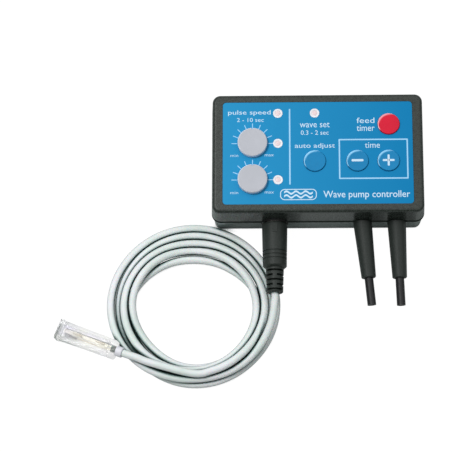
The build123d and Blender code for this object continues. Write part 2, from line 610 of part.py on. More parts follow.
GRIP_GROOVES = [-54.1, -56.4, -58.6]
GROOVE_WIDTH = 0.9
GROOVE_CORE_D = 13.2
RELIEF_CORE_D = 6.2
RELIEF_FIRST_SLOT = 2.1
RELIEF_SLOTS = 5
RELIEF_SLOT = 1.2
RELIEF_PITCH = 2.8
RELIEF_BRIDGE = 2.4
CABLE_BORE_END_Y = -61.0
KEY_WIDTH = 3.0
KEY_LENGTH = 5.0
KEY_START_Y = -38.6
with BuildPart() as plug_overmould:
    with BuildSketch(Plane.XY.offset(PLUG_Z)):
        with BuildLine():
            Polyline(
                (PLUG_X, PLUG_FACE_Y),
                (PLUG_X + PLUG_D / 2 - 0.4, PLUG_FACE_Y),
                (PLUG_X + PLUG_D / 2, PLUG_FACE_Y - 0.8),
                (PLUG_X + PLUG_BODY_END_D / 2, PLUG_BODY_END_Y + 0.9),
                (PLUG_X + PLUG_BODY_END_D / 2 - 0.9, PLUG_BODY_END_Y),
                (PLUG_X + RELIEF_START_D / 2, PLUG_BODY_END_Y - 0.3),
                (PLUG_X + RELIEF_END_D / 2, RELIEF_END_Y + 0.4),
                (PLUG_X + RELIEF_END_D / 2 - 0.4, RELIEF_END_Y),
                (PLUG_X, RELIEF_END_Y),
                close=True,
            )
        make_face()
    revolve(axis=Axis((PLUG_X, 0, PLUG_Z), (0, 1, 0)))
    for groove_y in GRIP_GROOVES:
        with BuildSketch(on_axis_y(PLUG_X, PLUG_Z, groove_y - GROOVE_WIDTH / 2)):
            Circle(PLUG_D / 2 + 1)
            Circle(GROOVE_CORE_D / 2, mode=Mode.SUBTRACT)
        extrude(amount=GROOVE_WIDTH, mode=Mode.SUBTRACT)
    with BuildSketch(Plane((PLUG_X, KEY_START_Y - KEY_LENGTH / 2, PLUG_Z + PLUG_D / 2 - 1.0))):
        RectangleRounded(KEY_WIDTH, KEY_LENGTH, 0.8)
    extrude(amount=1.2)
    for ring in range(RELIEF_SLOTS):
        slot_y = PLUG_BODY_END_Y - RELIEF_FIRST_SLOT - ring * RELIEF_PITCH
        across = ring % 2 == 1
        bridge = (RELIEF_BRIDGE, PLUG_D) if across else (PLUG_D, RELIEF_BRIDGE)
        with BuildSketch(on_axis_y(PLUG_X, PLUG_Z, slot_y - RELIEF_SLOT / 2)):
            Circle(PLUG_D / 2)
            Circle(RELIEF_CORE_D / 2, mode=Mode.SUBTRACT)
            Rectangle(*bridge, mode=Mode.SUBTRACT)
        extrude(amount=RELIEF_SLOT, mode=Mode.SUBTRACT)
    tube_y(PLUG_X, PLUG_Z, RELIEF_END_Y, CABLE_BORE_END_Y, CABLE_BORE_D, Mode.SUBTRACT)
    tube_y(PLUG_X, PLUG_Z, RELIEF_END_Y, RELIEF_END_Y + 1.2, CABLE_BORE_D + 0.5, Mode.SUBTRACT)
save(plug_overmould, "plug_overmould")

# ---------------------------------------------------------------- sensor cable
leave = math.radians(LEAVE_ANGLE)
TAIL_X = math.sin(leave)
TAIL_Y = -math.cos(leave)
LEAVE_X = COIL_X + LEAVE_RADIUS * math.cos(leave)
LEAVE_Y = COIL_Y + LEAVE_RADIUS * math.sin(leave)
PITCH = math.radians(CAPSULE_PITCH)
turned = leave - math.radians(CAPSULE_TURN)
CAPSULE_DIR = Vector(
    math.sin(turned) * math.cos(PITCH), -math.cos(turned) * math.cos(PITCH), -math.sin(PITCH)
)
CAPSULE_ORIGIN = Vector(
    LEAVE_X + CAPSULE_START * TAIL_X, LEAVE_Y + CAPSULE_START * TAIL_Y, CAPSULE_HEIGHT_AT_START
)
CAPSULE_SIDE = Vector(math.cos(turned), math.sin(turned), 0)


def coil_point(eighths):
    """Point on the cable's centre line, eased between the stations either side."""
    last = len(COIL_STATIONS) - 1
    step = min(int(eighths), last - 1)
    part = eighths - step
    around = [COIL_STATIONS[min(max(step + k, 0), last)] for k in (-1, 0, 1, 2)]
    radius, height = (
        0.5
        * (
            2 * b
            + (c - a) * part
            + (2 * a - 5 * b + 4 * c - d) * part**2
            + (3 * b - a - 3 * c + d) * part**3
        )
        for a, b, c, d in zip(*around)
    )
    angle = -math.radians(EIGHTH * eighths)
    return (COIL_X + radius * math.cos(angle), COIL_Y + radius * math.sin(angle), height)


CABLE_STRAIGHT_Y = [CABLE_BORE_END_Y - 2, -68.0, -73.0, RELIEF_END_Y]
cable_points = [(PLUG_X, y, PLUG_Z) for y in CABLE_STRAIGHT_Y]
for index in range(int(LEAVE_EIGHTHS * POINTS_PER_EIGHTH) + 1):
    cable_points.append(coil_point(index / POINTS_PER_EIGHTH))
for along, height in TAIL_HEIGHTS:
    cable_points.append((LEAVE_X + along * TAIL_X, LEAVE_Y + along * TAIL_Y, height))
cable_entry = CAPSULE_ORIGIN - CAPSULE_DIR * (FERRULE_LENGTH + 1.0)
cable_points.append(tuple(cable_entry))
cable_points.append(tuple(CAPSULE_ORIGIN + CAPSULE_DIR * 3.0))
with BuildPart() as sensor_cable:
    with BuildLine() as cable_path:
        Spline(*cable_points, tangents=[(0, -1, 0), tuple(CAPSULE_DIR)])
    with BuildSketch(Plane(origin=cable_points[0], z_dir=(0, -1, 0))):
        Circle(CABLE_D / 2)
    sweep(path=cable_path.line)
save(sensor_cable, "sensor_cable")

# ---------------------------------------------------------------- sensor capsule


def capsule_plane(along):
    """Plane across the capsule's axis: sketch x sideways, sketch z towards the sensing end."""
    return Plane(origin=CAPSULE_ORIGIN + CAPSULE_DIR * along, x_dir=CAPSULE_SIDE, z_dir=CAPSULE_DIR)


CAVITY_END = CAPSULE_LENGTH - CAP_THICK
with BuildPart() as capsule_body:
    with BuildSketch(capsule_plane(0)):
        RectangleRounded(CAPSULE_WIDTH, CAPSULE_DEPTH, CAPSULE_CORNER)
    with BuildSketch(capsule_plane(CAVITY_END)):
        RectangleRounded(CAPSULE_FRONT_WIDTH, CAPSULE_DEPTH, CAPSULE_CORNER)
    loft()
    fillet(capsule_body.faces().sort_by(Axis(CAPSULE_ORIGIN, CAPSULE_DIR))[0].edges(), 1.4)
    with BuildSketch(capsule_plane(CAPSULE_SOLID_END)):
        RectangleRounded(CAPSULE_WIDTH - 2 * CAPSULE_WALL, CAPSULE_DEPTH - 2 * CAPSULE_WALL, 0.8)
    extrude(amount=CAVITY_END - CAPSULE_SOLID_END, mode=Mode.SUBTRACT)
    with BuildSketch(capsule_plane(0)):
        Circle(CABLE_BORE_D / 2)
    extrude(amount=CAPSULE_SOLID_END, mode=Mode.SUBTRACT)
save(capsule_body, "capsule_body")

with BuildPart() as capsule_cap:
    with BuildSketch(capsule_plane(CAVITY_END)):
        RectangleRounded(CAP_WIDTH, CAP_DEPTH, CAPSULE_CORNER)
    extrude(amount=CAP_THICK)
    with BuildSketch(capsule_plane(CAVITY_END - 2.0)):
        RectangleRounded(
            CAPSULE_WIDTH - 2 * CAPSULE_WALL - 2 * FIT, CAPSULE_DEPTH - 2 * CAPSULE_WALL - 2 * FIT, 0.7
        )
    extrude(amount=2.0)
save(capsule_cap, "capsule_cap")

with BuildPart() as cable_ferrule:
    with BuildSketch(capsule_plane(-FERRULE_LENGTH)):
        Circle(FERRULE_D / 2)
    extrude(amount=FERRULE_LENGTH - 0.02)
    fillet(cable_ferrule.faces().sort_by(Axis(CAPSULE_ORIGIN, CAPSULE_DIR))[0].edges(), 0.5)
    with BuildSketch(capsule_plane(-FERRULE_LENGTH)):
        Circle(CABLE_BORE_D / 2)
    extrude(amount=FERRULE_LENGTH, mode=Mode.SUBTRACT)
save(cable_ferrule, "cable_ferrule")

DIODE_BACK = 25.5
DIODE_D = 4.9
DIODE_LENGTH = 7.4
LEG_GAP = 2.54
LEG_SIDE = 0.6
LEG_START = 12.0
SENSOR_CORE_D = 1.3
SENSOR_CORE_START = 3.1
with BuildPart() as photodiode:
    with BuildSketch(capsule_plane(DIODE_BACK)):
        Circle(DIODE_D / 2)
    extrude(amount=DIODE_LENGTH)
    fillet(photodiode.faces().sort_by(Axis(CAPSULE_ORIGIN, CAPSULE_DIR))[-1].edges(), 2.0)
save(photodiode, "photodiode")

with BuildPart() as photodiode_legs:
    for side in (-1, 1):
        with BuildSketch(capsule_plane(LEG_START)):
            with Locations((side * LEG_GAP / 2, 0)):
                Rectangle(LEG_SIDE, LEG_SIDE)
        extrude(amount=DIODE_BACK - LEG_START)
save(photodiode_legs, "photodiode_legs")

with BuildPart() as sensor_cores:
    for side in (-1, 1):
        core_start = capsule_plane(SENSOR_CORE_START).from_local_coords((side * 0.9, 0, 0))
        core_end = capsule_plane(LEG_START - FIT).from_local_coords((side * LEG_GAP / 2, 0, 0))
        with BuildSketch(Plane(origin=core_start, z_dir=core_end - core_start)):
            Circle(SENSOR_CORE_D / 2)
        extrude(amount=(core_end - core_start).length)
save(sensor_cores, "sensor_cores")

# ---------------------------------------------------------------- pump leads
TERMINAL_X_OFFSET = -1.2
TERMINAL_Y = -17.0
TERMINAL_WIDTH = 14.6
TERMINAL_DEPTH = 7.6
TERMINAL_HEIGHT = 8.0
TERMINAL_PITCH = 3.5


def lead_direction(lead_tilt):
    """Unit vector along a lead, away from the case."""
    tilt = math.radians(lead_tilt)
    droop = math.radians(LEAD_DROOP)
    return Vector(
        math.sin(tilt) * math.cos(droop), -math.cos(tilt) * math.cos(droop), -math.sin(droop)
    )


for lead_name, (lead_x, lead_tilt) in LEADS.items():
    lead_dir = lead_direction(lead_tilt)
    lead_exit = Vector(lead_x, OUTER_WALL_Y, SEAM_Z)
    lead_side = lead_dir.cross(Vector(0, 0, 1)).normalized()
    # Sketch x runs along the lead, sketch y across it
    lead_plane = Plane(origin=lead_exit, x_dir=lead_dir, z_dir=lead_dir.cross(lead_side))
    with BuildPart() as boot:
        with BuildSketch(lead_plane):
            with BuildLine():
                Polyline(
                    (-BOOT_INSIDE, 0),
                    (-BOOT_INSIDE, BOOT_FLANGE_D / 2),
                    (-1.2, BOOT_FLANGE_D / 2),
                    (-1.2, BOOT_BASE_D / 2),
                    (0, BOOT_BASE_D / 2),
                    (BOOT_LENGTH - 0.5, BOOT_END_D / 2),
                    (BOOT_LENGTH, BOOT_END_D / 2 - 0.5),
                    (BOOT_LENGTH, 0),
                    close=True,
                )
            make_face()
        revolve(axis=Axis(lead_exit, lead_dir))
        with BuildSketch(on_axis_y(lead_x, SEAM_Z, OUTER_WALL_Y - WALL_CLEARANCE)):
            Circle(BOOT_FLANGE_D)
            Circle(BOOT_NECK_D / 2, mode=Mode.SUBTRACT)
        extrude(amount=INNER_WALL_Y - OUTER_WALL_Y + 2 * WALL_CLEARANCE, mode=Mode.SUBTRACT)
        with BuildSketch(Plane(origin=lead_exit - lead_dir * JACKET_INSIDE, z_dir=lead_dir)):
            Circle(JACKET_D / 2 + SHAFT_CLEAR)
        extrude(amount=JACKET_INSIDE + BOOT_LENGTH + 1, mode=Mode.SUBTRACT)
    save(boot, f"{lead_name}_boot")
    jacket_start = lead_exit - lead_dir * JACKET_INSIDE
    jacket_length = JACKET_INSIDE + BOOT_LENGTH + JACKET_PAST_BOOT
    with BuildPart() as jacket:
        with BuildSketch(Plane(origin=jacket_start, z_dir=lead_dir)):
            Circle(JACKET_D / 2)
            Circle(JACKET_BORE_D / 2, mode=Mode.SUBTRACT)
        extrude(amount=jacket_length)
    save(jacket, f"{lead_name}_lead")
    with BuildPart() as cores:
        with BuildSketch(Plane(origin=jacket_start - lead_dir * CORE_PAST_JACKET, z_dir=lead_dir)):
            with PolarLocations(CORE_CIRCLE_R, CORE_COUNT):
                Circle(CORE_WIRE_D / 2)
        extrude(amount=jacket_length + CORE_PAST_JACKET - CORE_RECESS)
    save(cores, f"{lead_name}_lead_cores")
    with BuildPart() as terminal:
        terminal_x = lead_x + TERMINAL_X_OFFSET
        terminal_foot = BOARD_Z - TERMINAL_HEIGHT
        block(terminal_x, TERMINAL_Y, terminal_foot, BOARD_Z, TERMINAL_WIDTH, TERMINAL_DEPTH)
        with BuildSketch(Plane((terminal_x, TERMINAL_Y, terminal_foot))):
            with GridLocations(TERMINAL_PITCH, 1, CORE_COUNT, 1):
                Circle(1.3)
        extrude(amount=1.0, mode=Mode.SUBTRACT)
    save(terminal, f"{lead_name}_terminal")

TIE_INSIDE = 10.1
TIE_THICK = 1.1
TIE_HEAD = 4.4
TIE_WIDTH = 2.4
with BuildPart() as cable_ties:
    for lead_x, lead_tilt in LEADS.values():
        lead_dir = lead_direction(lead_tilt)
        tie_origin = Vector(lead_x, OUTER_WALL_Y, SEAM_Z) - lead_dir * TIE_INSIDE
        with BuildSketch(Plane(origin=tie_origin, x_dir=(1, 0, 0), z_dir=lead_dir)):
            Circle(JACKET_D / 2 + TIE_THICK)
            with Locations((0, -JACKET_D / 2 - TIE_THICK - 0.8)):
                Rectangle(TIE_HEAD, TIE_HEAD - 1)
            Circle(JACKET_D / 2 + WALL_CLEARANCE, mode=Mode.SUBTRACT)
        extrude(amount=TIE_WIDTH)
save(cable_ties, "cable_ties")
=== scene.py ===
import json
import math

import bpy
import bmesh
from mathutils import Matrix, Vector


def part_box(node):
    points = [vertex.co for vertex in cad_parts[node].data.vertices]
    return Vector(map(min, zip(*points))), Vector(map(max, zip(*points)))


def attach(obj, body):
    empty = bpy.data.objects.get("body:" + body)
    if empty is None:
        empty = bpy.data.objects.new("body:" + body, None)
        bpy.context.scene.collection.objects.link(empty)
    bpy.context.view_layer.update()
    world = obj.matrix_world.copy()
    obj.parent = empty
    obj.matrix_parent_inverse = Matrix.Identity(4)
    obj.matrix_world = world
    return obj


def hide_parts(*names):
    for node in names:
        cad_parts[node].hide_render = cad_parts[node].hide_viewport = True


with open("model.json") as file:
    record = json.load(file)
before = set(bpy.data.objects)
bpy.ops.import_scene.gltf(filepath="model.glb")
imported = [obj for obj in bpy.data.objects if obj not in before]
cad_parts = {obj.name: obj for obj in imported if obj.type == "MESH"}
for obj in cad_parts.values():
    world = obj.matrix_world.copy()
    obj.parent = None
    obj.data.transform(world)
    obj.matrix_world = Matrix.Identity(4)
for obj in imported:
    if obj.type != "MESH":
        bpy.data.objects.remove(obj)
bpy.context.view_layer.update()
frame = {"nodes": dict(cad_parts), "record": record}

MM = 0.001


def box_mm(node):
    """Lowest and highest corner of a CAD node, in millimetres."""
    low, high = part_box(node)
    return Vector(low) / MM, Vector(high) / MM


def centre_mm(node):
    """Middle of a CAD node's box, in millimetres."""
    low, high = box_mm(node)
    return (low + high) / 2


# ------------------------------------------------------------------ materials
MIX_FIRST, MIX_SECOND, MIX_RESULT = 6, 7, 2
CREASE_SAMPLES = 8


class Shader:
    """A node-based material, built up one node at a time."""

    def __init__(self, name):
        self.material = bpy.data.materials.new(name)
        self.material.use_nodes = True
        self.tree = self.material.node_tree
        self.tree.nodes.clear()
        self.output = self.node("ShaderNodeOutputMaterial")
        self.surface = self.node("ShaderNodeBsdfPrincipled")
        self.tree.links.new(self.surface.outputs[0], self.output.inputs[0])
        self.coords = self.node("ShaderNodeTexCoord").outputs["Object"]
        self.last_bump = None

    def node(self, kind, **values):
        made = self.tree.nodes.new(kind)
        for key, value in values.items():
            setattr(made, key, value)
        return made

    def put(self, socket, value):
        if isinstance(value, bpy.types.NodeSocket):
            self.tree.links.new(value, socket)
        elif isinstance(value, (tuple, list)) and len(value) == 3 and socket.type == "RGBA":
            socket.default_value = (*value, 1.0)
        else:
            socket.default_value = value

    def set(self, **values):
        for key, value in values.items():
            self.put(self.surface.inputs[key.replace("_", " ")], value)
        return self

    def noise(self, scale, detail=4.0, roughness=0.6, stretch=None):
        made = self.node("ShaderNodeTexNoise")
        coords = self.coords
        if stretch:
            mapping = self.node("ShaderNodeMapping")
            self.put(mapping.inputs["Vector"], coords)
            mapping.inputs["Scale"].default_value = stretch
            coords = mapping.outputs[0]
        self.put(made.inputs["Vector"], coords)
        self.put(made.inputs["Scale"], scale)
        self.put(made.inputs["Detail"], detail)
        self.put(made.inputs["Roughness"], roughness)
        return made.outputs["Fac"]

    def cells(self, scale):
        made = self.node("ShaderNodeTexVoronoi")
        self.put(made.inputs["Vector"], self.coords)
        self.put(made.inputs["Scale"], scale)
        return made.outputs["Distance"]

    def ramp(self, fac, *stops):
        made = self.node("ShaderNodeValToRGB")
        self.put(made.inputs[0], fac)
        elements = made.color_ramp.elements
        while len(elements) < len(stops):
            elements.new(1.0)
        for element, (place, colour) in zip(elements, stops):
            element.position = place
            shade = colour if isinstance(colour, (tuple, list)) else (colour,) * 3
            element.color = (*shade, 1.0)
        return made.outputs[0]

    def span(self, fac, low, high):
        """Maps 0..1 to low..high."""
        made = self.node("ShaderNodeMapRange")
        self.put(made.inputs["Value"], fac)
        self.put(made.inputs["To Min"], low)
        self.put(made.inputs["To Max"], high)
        return made.outputs[0]

    def blend(self, fac, first, second, mode="MIX"):
        made = self.node("ShaderNodeMix", data_type="RGBA", blend_type=mode)
        self.put(made.inputs[0], fac)
        self.put(made.inputs[MIX_FIRST], first)
        self.put(made.inputs[MIX_SECOND], second)
        return made.outputs[MIX_RESULT]

    def bump(self, height, strength, depth):
        made = self.node("ShaderNodeBump")
        self.put(made.inputs["Height"], height)
        self.put(made.inputs["Strength"], strength)
        self.put(made.inputs["Distance"], depth)
        if self.last_bump is not None:
            self.put(made.inputs["Normal"], self.last_bump)
        self.last_bump = made.outputs[0]
        self.put(self.surface.inputs["Normal"], self.last_bump)
        return self

    def openness(self, distance):
        """1 on open surfaces, falling towards 0 in seams and creases."""
        made = self.node("ShaderNodeAmbientOcclusion", samples=CREASE_SAMPLES)
        self.put(made.inputs["Distance"], distance)
        return made.outputs["AO"]

    def axis(self, name, source=None):
        """One component of the place on the object, or of another vector."""
        made = self.node("ShaderNodeSeparateXYZ")
        self.put(made.inputs[0], source or self.coords)
        return made.outputs[name]

    def vector(self, operation, source, second=None, third=None):
        made = self.node("ShaderNodeVectorMath", operation=operation)
        self.put(made.inputs[0], source)
        for socket, value in ((1, second), (2, third)):
            if value is not None:
                made.inputs[socket].default_value = value
        return made

    def normal(self):
        return self.node("ShaderNodeNewGeometry").outputs["Normal"]

    def maths(self, operation, first, second=0.0):
        made = self.node("ShaderNodeMath", operation=operation)
        self.put(made.inputs[0], first)
        self.put(made.inputs[1], second)
        return made.outputs[0]


# Painted seam shadow: the case's reflection is dimmed in a band centred this far above the top shell's
# lowest point.
SEAM_SHADE_ABOVE = 1.9
SEAM_Z = (box_mm("top_shell")[0].z + SEAM_SHADE_ABOVE) * MM
SEAM_SHADE = 0.0024
PLASTIC_CREASE = 0.0016


def speckled_plastic(name, dark, light, grain, roughness, bump=0.4, shine=0.5, seam=None):
    """Moulded plastic with a spark-eroded texture: fine grain in colour, gloss and relief, with painted
    shade that dims its reflection in creases and, when seam is given, along the seam.
    """
    s = Shader(name)
    fine = s.noise(grain, 6.0, 0.7)
    coarse = s.noise(grain * 0.5, 3.0, 0.6)
    mottled = s.ramp(fine, (0.32, dark), (0.72, light))
    s.set(Base_Color=s.blend(s.ramp(coarse, (0.4, 0.0), (0.75, 0.8)), mottled, light))
    s.set(Roughness=s.span(fine, roughness - 0.08, roughness + 0.1))
    # Painted shade: reflection is dimmed where the surface sits in a crease.
    open_air = s.ramp(s.openness(PLASTIC_CREASE), (0.45, 0.0), (0.8, 1.0))
    # Painted seam shadow: when seam is given, reflection also fades out near that height.
    if seam:
        off_seam = s.maths("ABSOLUTE", s.maths("SUBTRACT", s.axis("Z"), seam))
        clear_of_seam = s.ramp(s.maths("DIVIDE", off_seam, SEAM_SHADE), (0.35, 0.0), (1.0, 1.0))
        open_air = s.maths("MULTIPLY", open_air, clear_of_seam)
    s.set(Specular_IOR_Level=s.maths("MULTIPLY", open_air, shine))
    s.bump(s.cells(grain * 1.4), bump * 0.6, 0.00004)
    s.bump(fine, bump, 0.00005)
    return s.material


# Directions that the painted highlights face: on fillets, and on button rims.
EDGE_LIGHT_FROM = Vector((-0.74, 0.62, 0.25))
ARC_LIGHT_FROM = (-0.62, 0.78, 0.0)
ARC_INNER, ARC_FULL = 0.66, 0.76


def painted_rim_highlight(s):
    """Mask for a painted highlight on the rim of a round button, on its side towards the light from behind
    on the left.
    """
    place = s.node("ShaderNodeTexCoord").outputs["Generated"]
    offset = s.vector("MULTIPLY_ADD", place, (2.0, 2.0, 0.0), (-1.0, -1.0, 0.0)).outputs[0]
    radius = s.vector("LENGTH", offset)
    towards = s.vector("DOT_PRODUCT", offset, ARC_LIGHT_FROM)
    rim = s.ramp(radius.outputs["Value"], (ARC_INNER, 0.0), (ARC_FULL, 1.0))
    lit = s.ramp(towards.outputs["Value"], (0.42, 0.0), (0.74, 1.0))
    return s.maths("MULTIPLY", rim, lit)


def satin(
    name,
    colour,
    roughness,
    variation=0.06,
    grain=1800.0,
    bump=0.12,
    coat=0.0,
    shine=0.5,
    edge=None,
    arc=None,
    side=None,
):
    """
    Smooth moulded or painted surface with faint colour drift and fine unevenness.
    edge, arc and side are painted-light colours: a painted highlight on fillets that face the light, a
    painted highlight on a button rim towards the light, and painted light on upright faces.
    """
    s = Shader(name)
    drift = s.noise(90.0, 3.0, 0.5)
    fine = s.noise(grain, 4.0, 0.6)
    darker = tuple(c * (1.0 - variation) for c in colour)
    lighter = tuple(min(1.0, c * (1.0 + variation)) for c in colour)
    shade = s.ramp(drift, (0.3, darker), (0.7, lighter))
    # Painted highlight on fillets that face EDGE_LIGHT_FROM.
    if edge:
        facing = s.vector("DOT_PRODUCT", s.normal(), EDGE_LIGHT_FROM)
        shade = s.blend(s.ramp(facing.outputs["Value"], (0.28, 0.0), (0.42, 1.0)), shade, edge)
    # Painted highlight on the button rim towards the light.
    if arc:
        shade = s.blend(painted_rim_highlight(s), shade, arc)
    # Painted light: upright faces are lightened towards the side colour.
    if side:
        level = s.axis("Z", s.normal())
        shade = s.blend(s.ramp(level, (0.2, 1.0), (0.9, 0.0)), shade, side)
    s.set(Base_Color=shade)
    s.set(Roughness=s.span(fine, roughness - 0.05, roughness + 0.06))
    s.set(Coat_Weight=coat, Coat_Roughness=0.2, Specular_IOR_Level=shine)
    s.bump(fine, bump, 0.00003)
    return s.material


def metal(name, colour, roughness, brushed=(1.0, 1.0, 1.0), tarnish=0.15):
    """Plated or bare metal with fine directional marks and patches of tarnish."""
    s = Shader(name)
    marks = s.noise(3000.0, 5.0, 0.7, brushed)
    patches = s.noise(250.0, 4.0, 0.6)
    dull = tuple(c * (1.0 - tarnish * 2) for c in colour)
    s.set(Base_Color=s.ramp(patches, (0.35, dull), (0.65, colour)), Metallic=1.0)
    s.set(Roughness=s.span(marks, roughness * 0.7, roughness * 1.4))
    s.bump(marks, 0.15, 0.00002)
    return s.material


CABLE_CREASE = 0.0055


def cable_jacket():
    """Pale grey PVC, faintly green and lilac and a little dusty all over, with painted shade that darkens
    its creases nearly to black and its sides where they turn away from view.
    """
    s = Shader("grey_cable_jacket")
    drift = s.noise(35.0, 4.0, 0.6)
    fine = s.noise(1500.0, 3.0, 0.6)
    green, plain, lilac = (0.69, 0.79, 0.75), (0.80, 0.84, 0.84), (0.86, 0.86, 0.91)
    tint = s.ramp(drift, (0.32, green), (0.5, plain), (0.66, lilac))
    dusty = s.blend(s.span(fine, 0.0, 0.25), tint, (0.66, 0.70, 0.69))
    # Painted shade in the creases between turns, nearly black where deepest.
    dark, half, unshaded = (0.01, 0.035, 0.03), (0.48, 0.58, 0.57), (1.0, 1.0, 1.0)
    crease_shade = s.ramp(s.openness(CABLE_CREASE), (0.46, dark), (0.64, half), (0.86, unshaded))
    # Painted shade on the sides of the strand that turn away from view.
    turned = s.node("ShaderNodeLayerWeight").outputs["Facing"]
    sides = s.ramp(turned, (0.42, unshaded), (0.90, (0.46, 0.48, 0.52)))
    dusty_and_shaded = s.blend(1.0, dusty, crease_shade, "MULTIPLY")
    s.set(Base_Color=s.blend(1.0, dusty_and_shaded, sides, "MULTIPLY"))
    s.set(Roughness=s.span(fine, 0.30, 0.40))
    s.set(Subsurface_Weight=0.08, Subsurface_Scale=0.001)
    s.bump(fine, 0.1, 0.00004)
    return s.material


PANEL_HALF = 0.0545


def printed_panel():
    """Blue printed film: satin lacquer over an even blue that darkens slightly to the right."""
    s = Shader("panel_blue_film")
    across = s.span(s.axis("X"), 0.0, 1.0)
    across.node.inputs["From Min"].default_value = -PANEL_HALF
    across.node.inputs["From Max"].default_value = PANEL_HALF
    fine = s.noise(2600.0, 3.0, 0.6)
    cloud = s.noise(45.0, 2.0, 0.5)
    base = s.blend(across, (0.024, 0.285, 0.560), (0.006, 0.205, 0.455))
    s.set(Base_Color=s.blend(s.span(cloud, 0.0, 0.12), base, (0.030, 0.30, 0.60)))
    s.set(Roughness=s.span(fine, 0.48, 0.58), Specular_IOR_Level=0.06)
    s.bump(fine, 0.12, 0.00002)
    return s.material


def board_mask():
    """Green solder mask over faint copper tracks."""
    s = Shader("board_green_mask")
    tracks = s.cells(220.0)
    fine = s.noise(1600.0, 3.0, 0.5)
    s.set(Base_Color=s.ramp(tracks, (0.08, (0.03, 0.26, 0.10)), (0.16, (0.012, 0.13, 0.05))))
    s.set(Roughness=s.span(fine, 0.25, 0.4))
    s.bump(tracks, 0.2, 0.00003)
    return s.material


def resistor_lacquer():
    """Tan lacquer with coloured bands along the body."""
    s = Shader("resistor_lacquer")
    wave = s.node("ShaderNodeTexWave", bands_direction="Y")
    s.put(wave.inputs["Vector"], s.coords)
    s.put(wave.inputs["Scale"], 180.0)
    tan, band = (0.62, 0.45, 0.27), (0.3, 0.06, 0.03)
    s.set(Base_Color=s.ramp(wave.outputs["Fac"], (0.8, tan), (0.9, band)), Roughness=0.35)
    s.bump(s.noise(900.0), 0.15, 0.00003)
    return s.material


LIGHT_THROUGH_SHELL = 0.8


def clear_shell():
    """Clear polycarbonate, hazed from moulding, cream where it is thick."""
    s = Shader("clear_polycarbonate")
    ripple = s.noise(260.0, 3.0, 0.5)
    cloud = s.noise(120.0, 2.0, 0.5)
    s.set(Base_Color=s.ramp(cloud, (0.3, (1.0, 1.0, 0.96)), (0.7, (0.97, 0.96, 1.0))))
    s.set(Roughness=s.span(ripple, 0.015, 0.05))
    s.set(Transmission_Weight=0.92, IOR=1.15)
    shadow = s.node("ShaderNodeLightPath").outputs["Is Shadow Ray"]
    open_shadow = s.node("ShaderNodeMixShader")
    s.put(open_shadow.inputs[0], s.maths("MULTIPLY", shadow, LIGHT_THROUGH_SHELL))
    s.tree.links.new(s.surface.outputs[0], open_shadow.inputs[1])
    s.tree.links.new(s.node("ShaderNodeBsdfTransparent").outputs[0], open_shadow.inputs[2])
    s.tree.links.new(open_shadow.outputs[0], s.output.inputs[0])
    s.bump(ripple, 0.12, 0.0001)
    return s.material


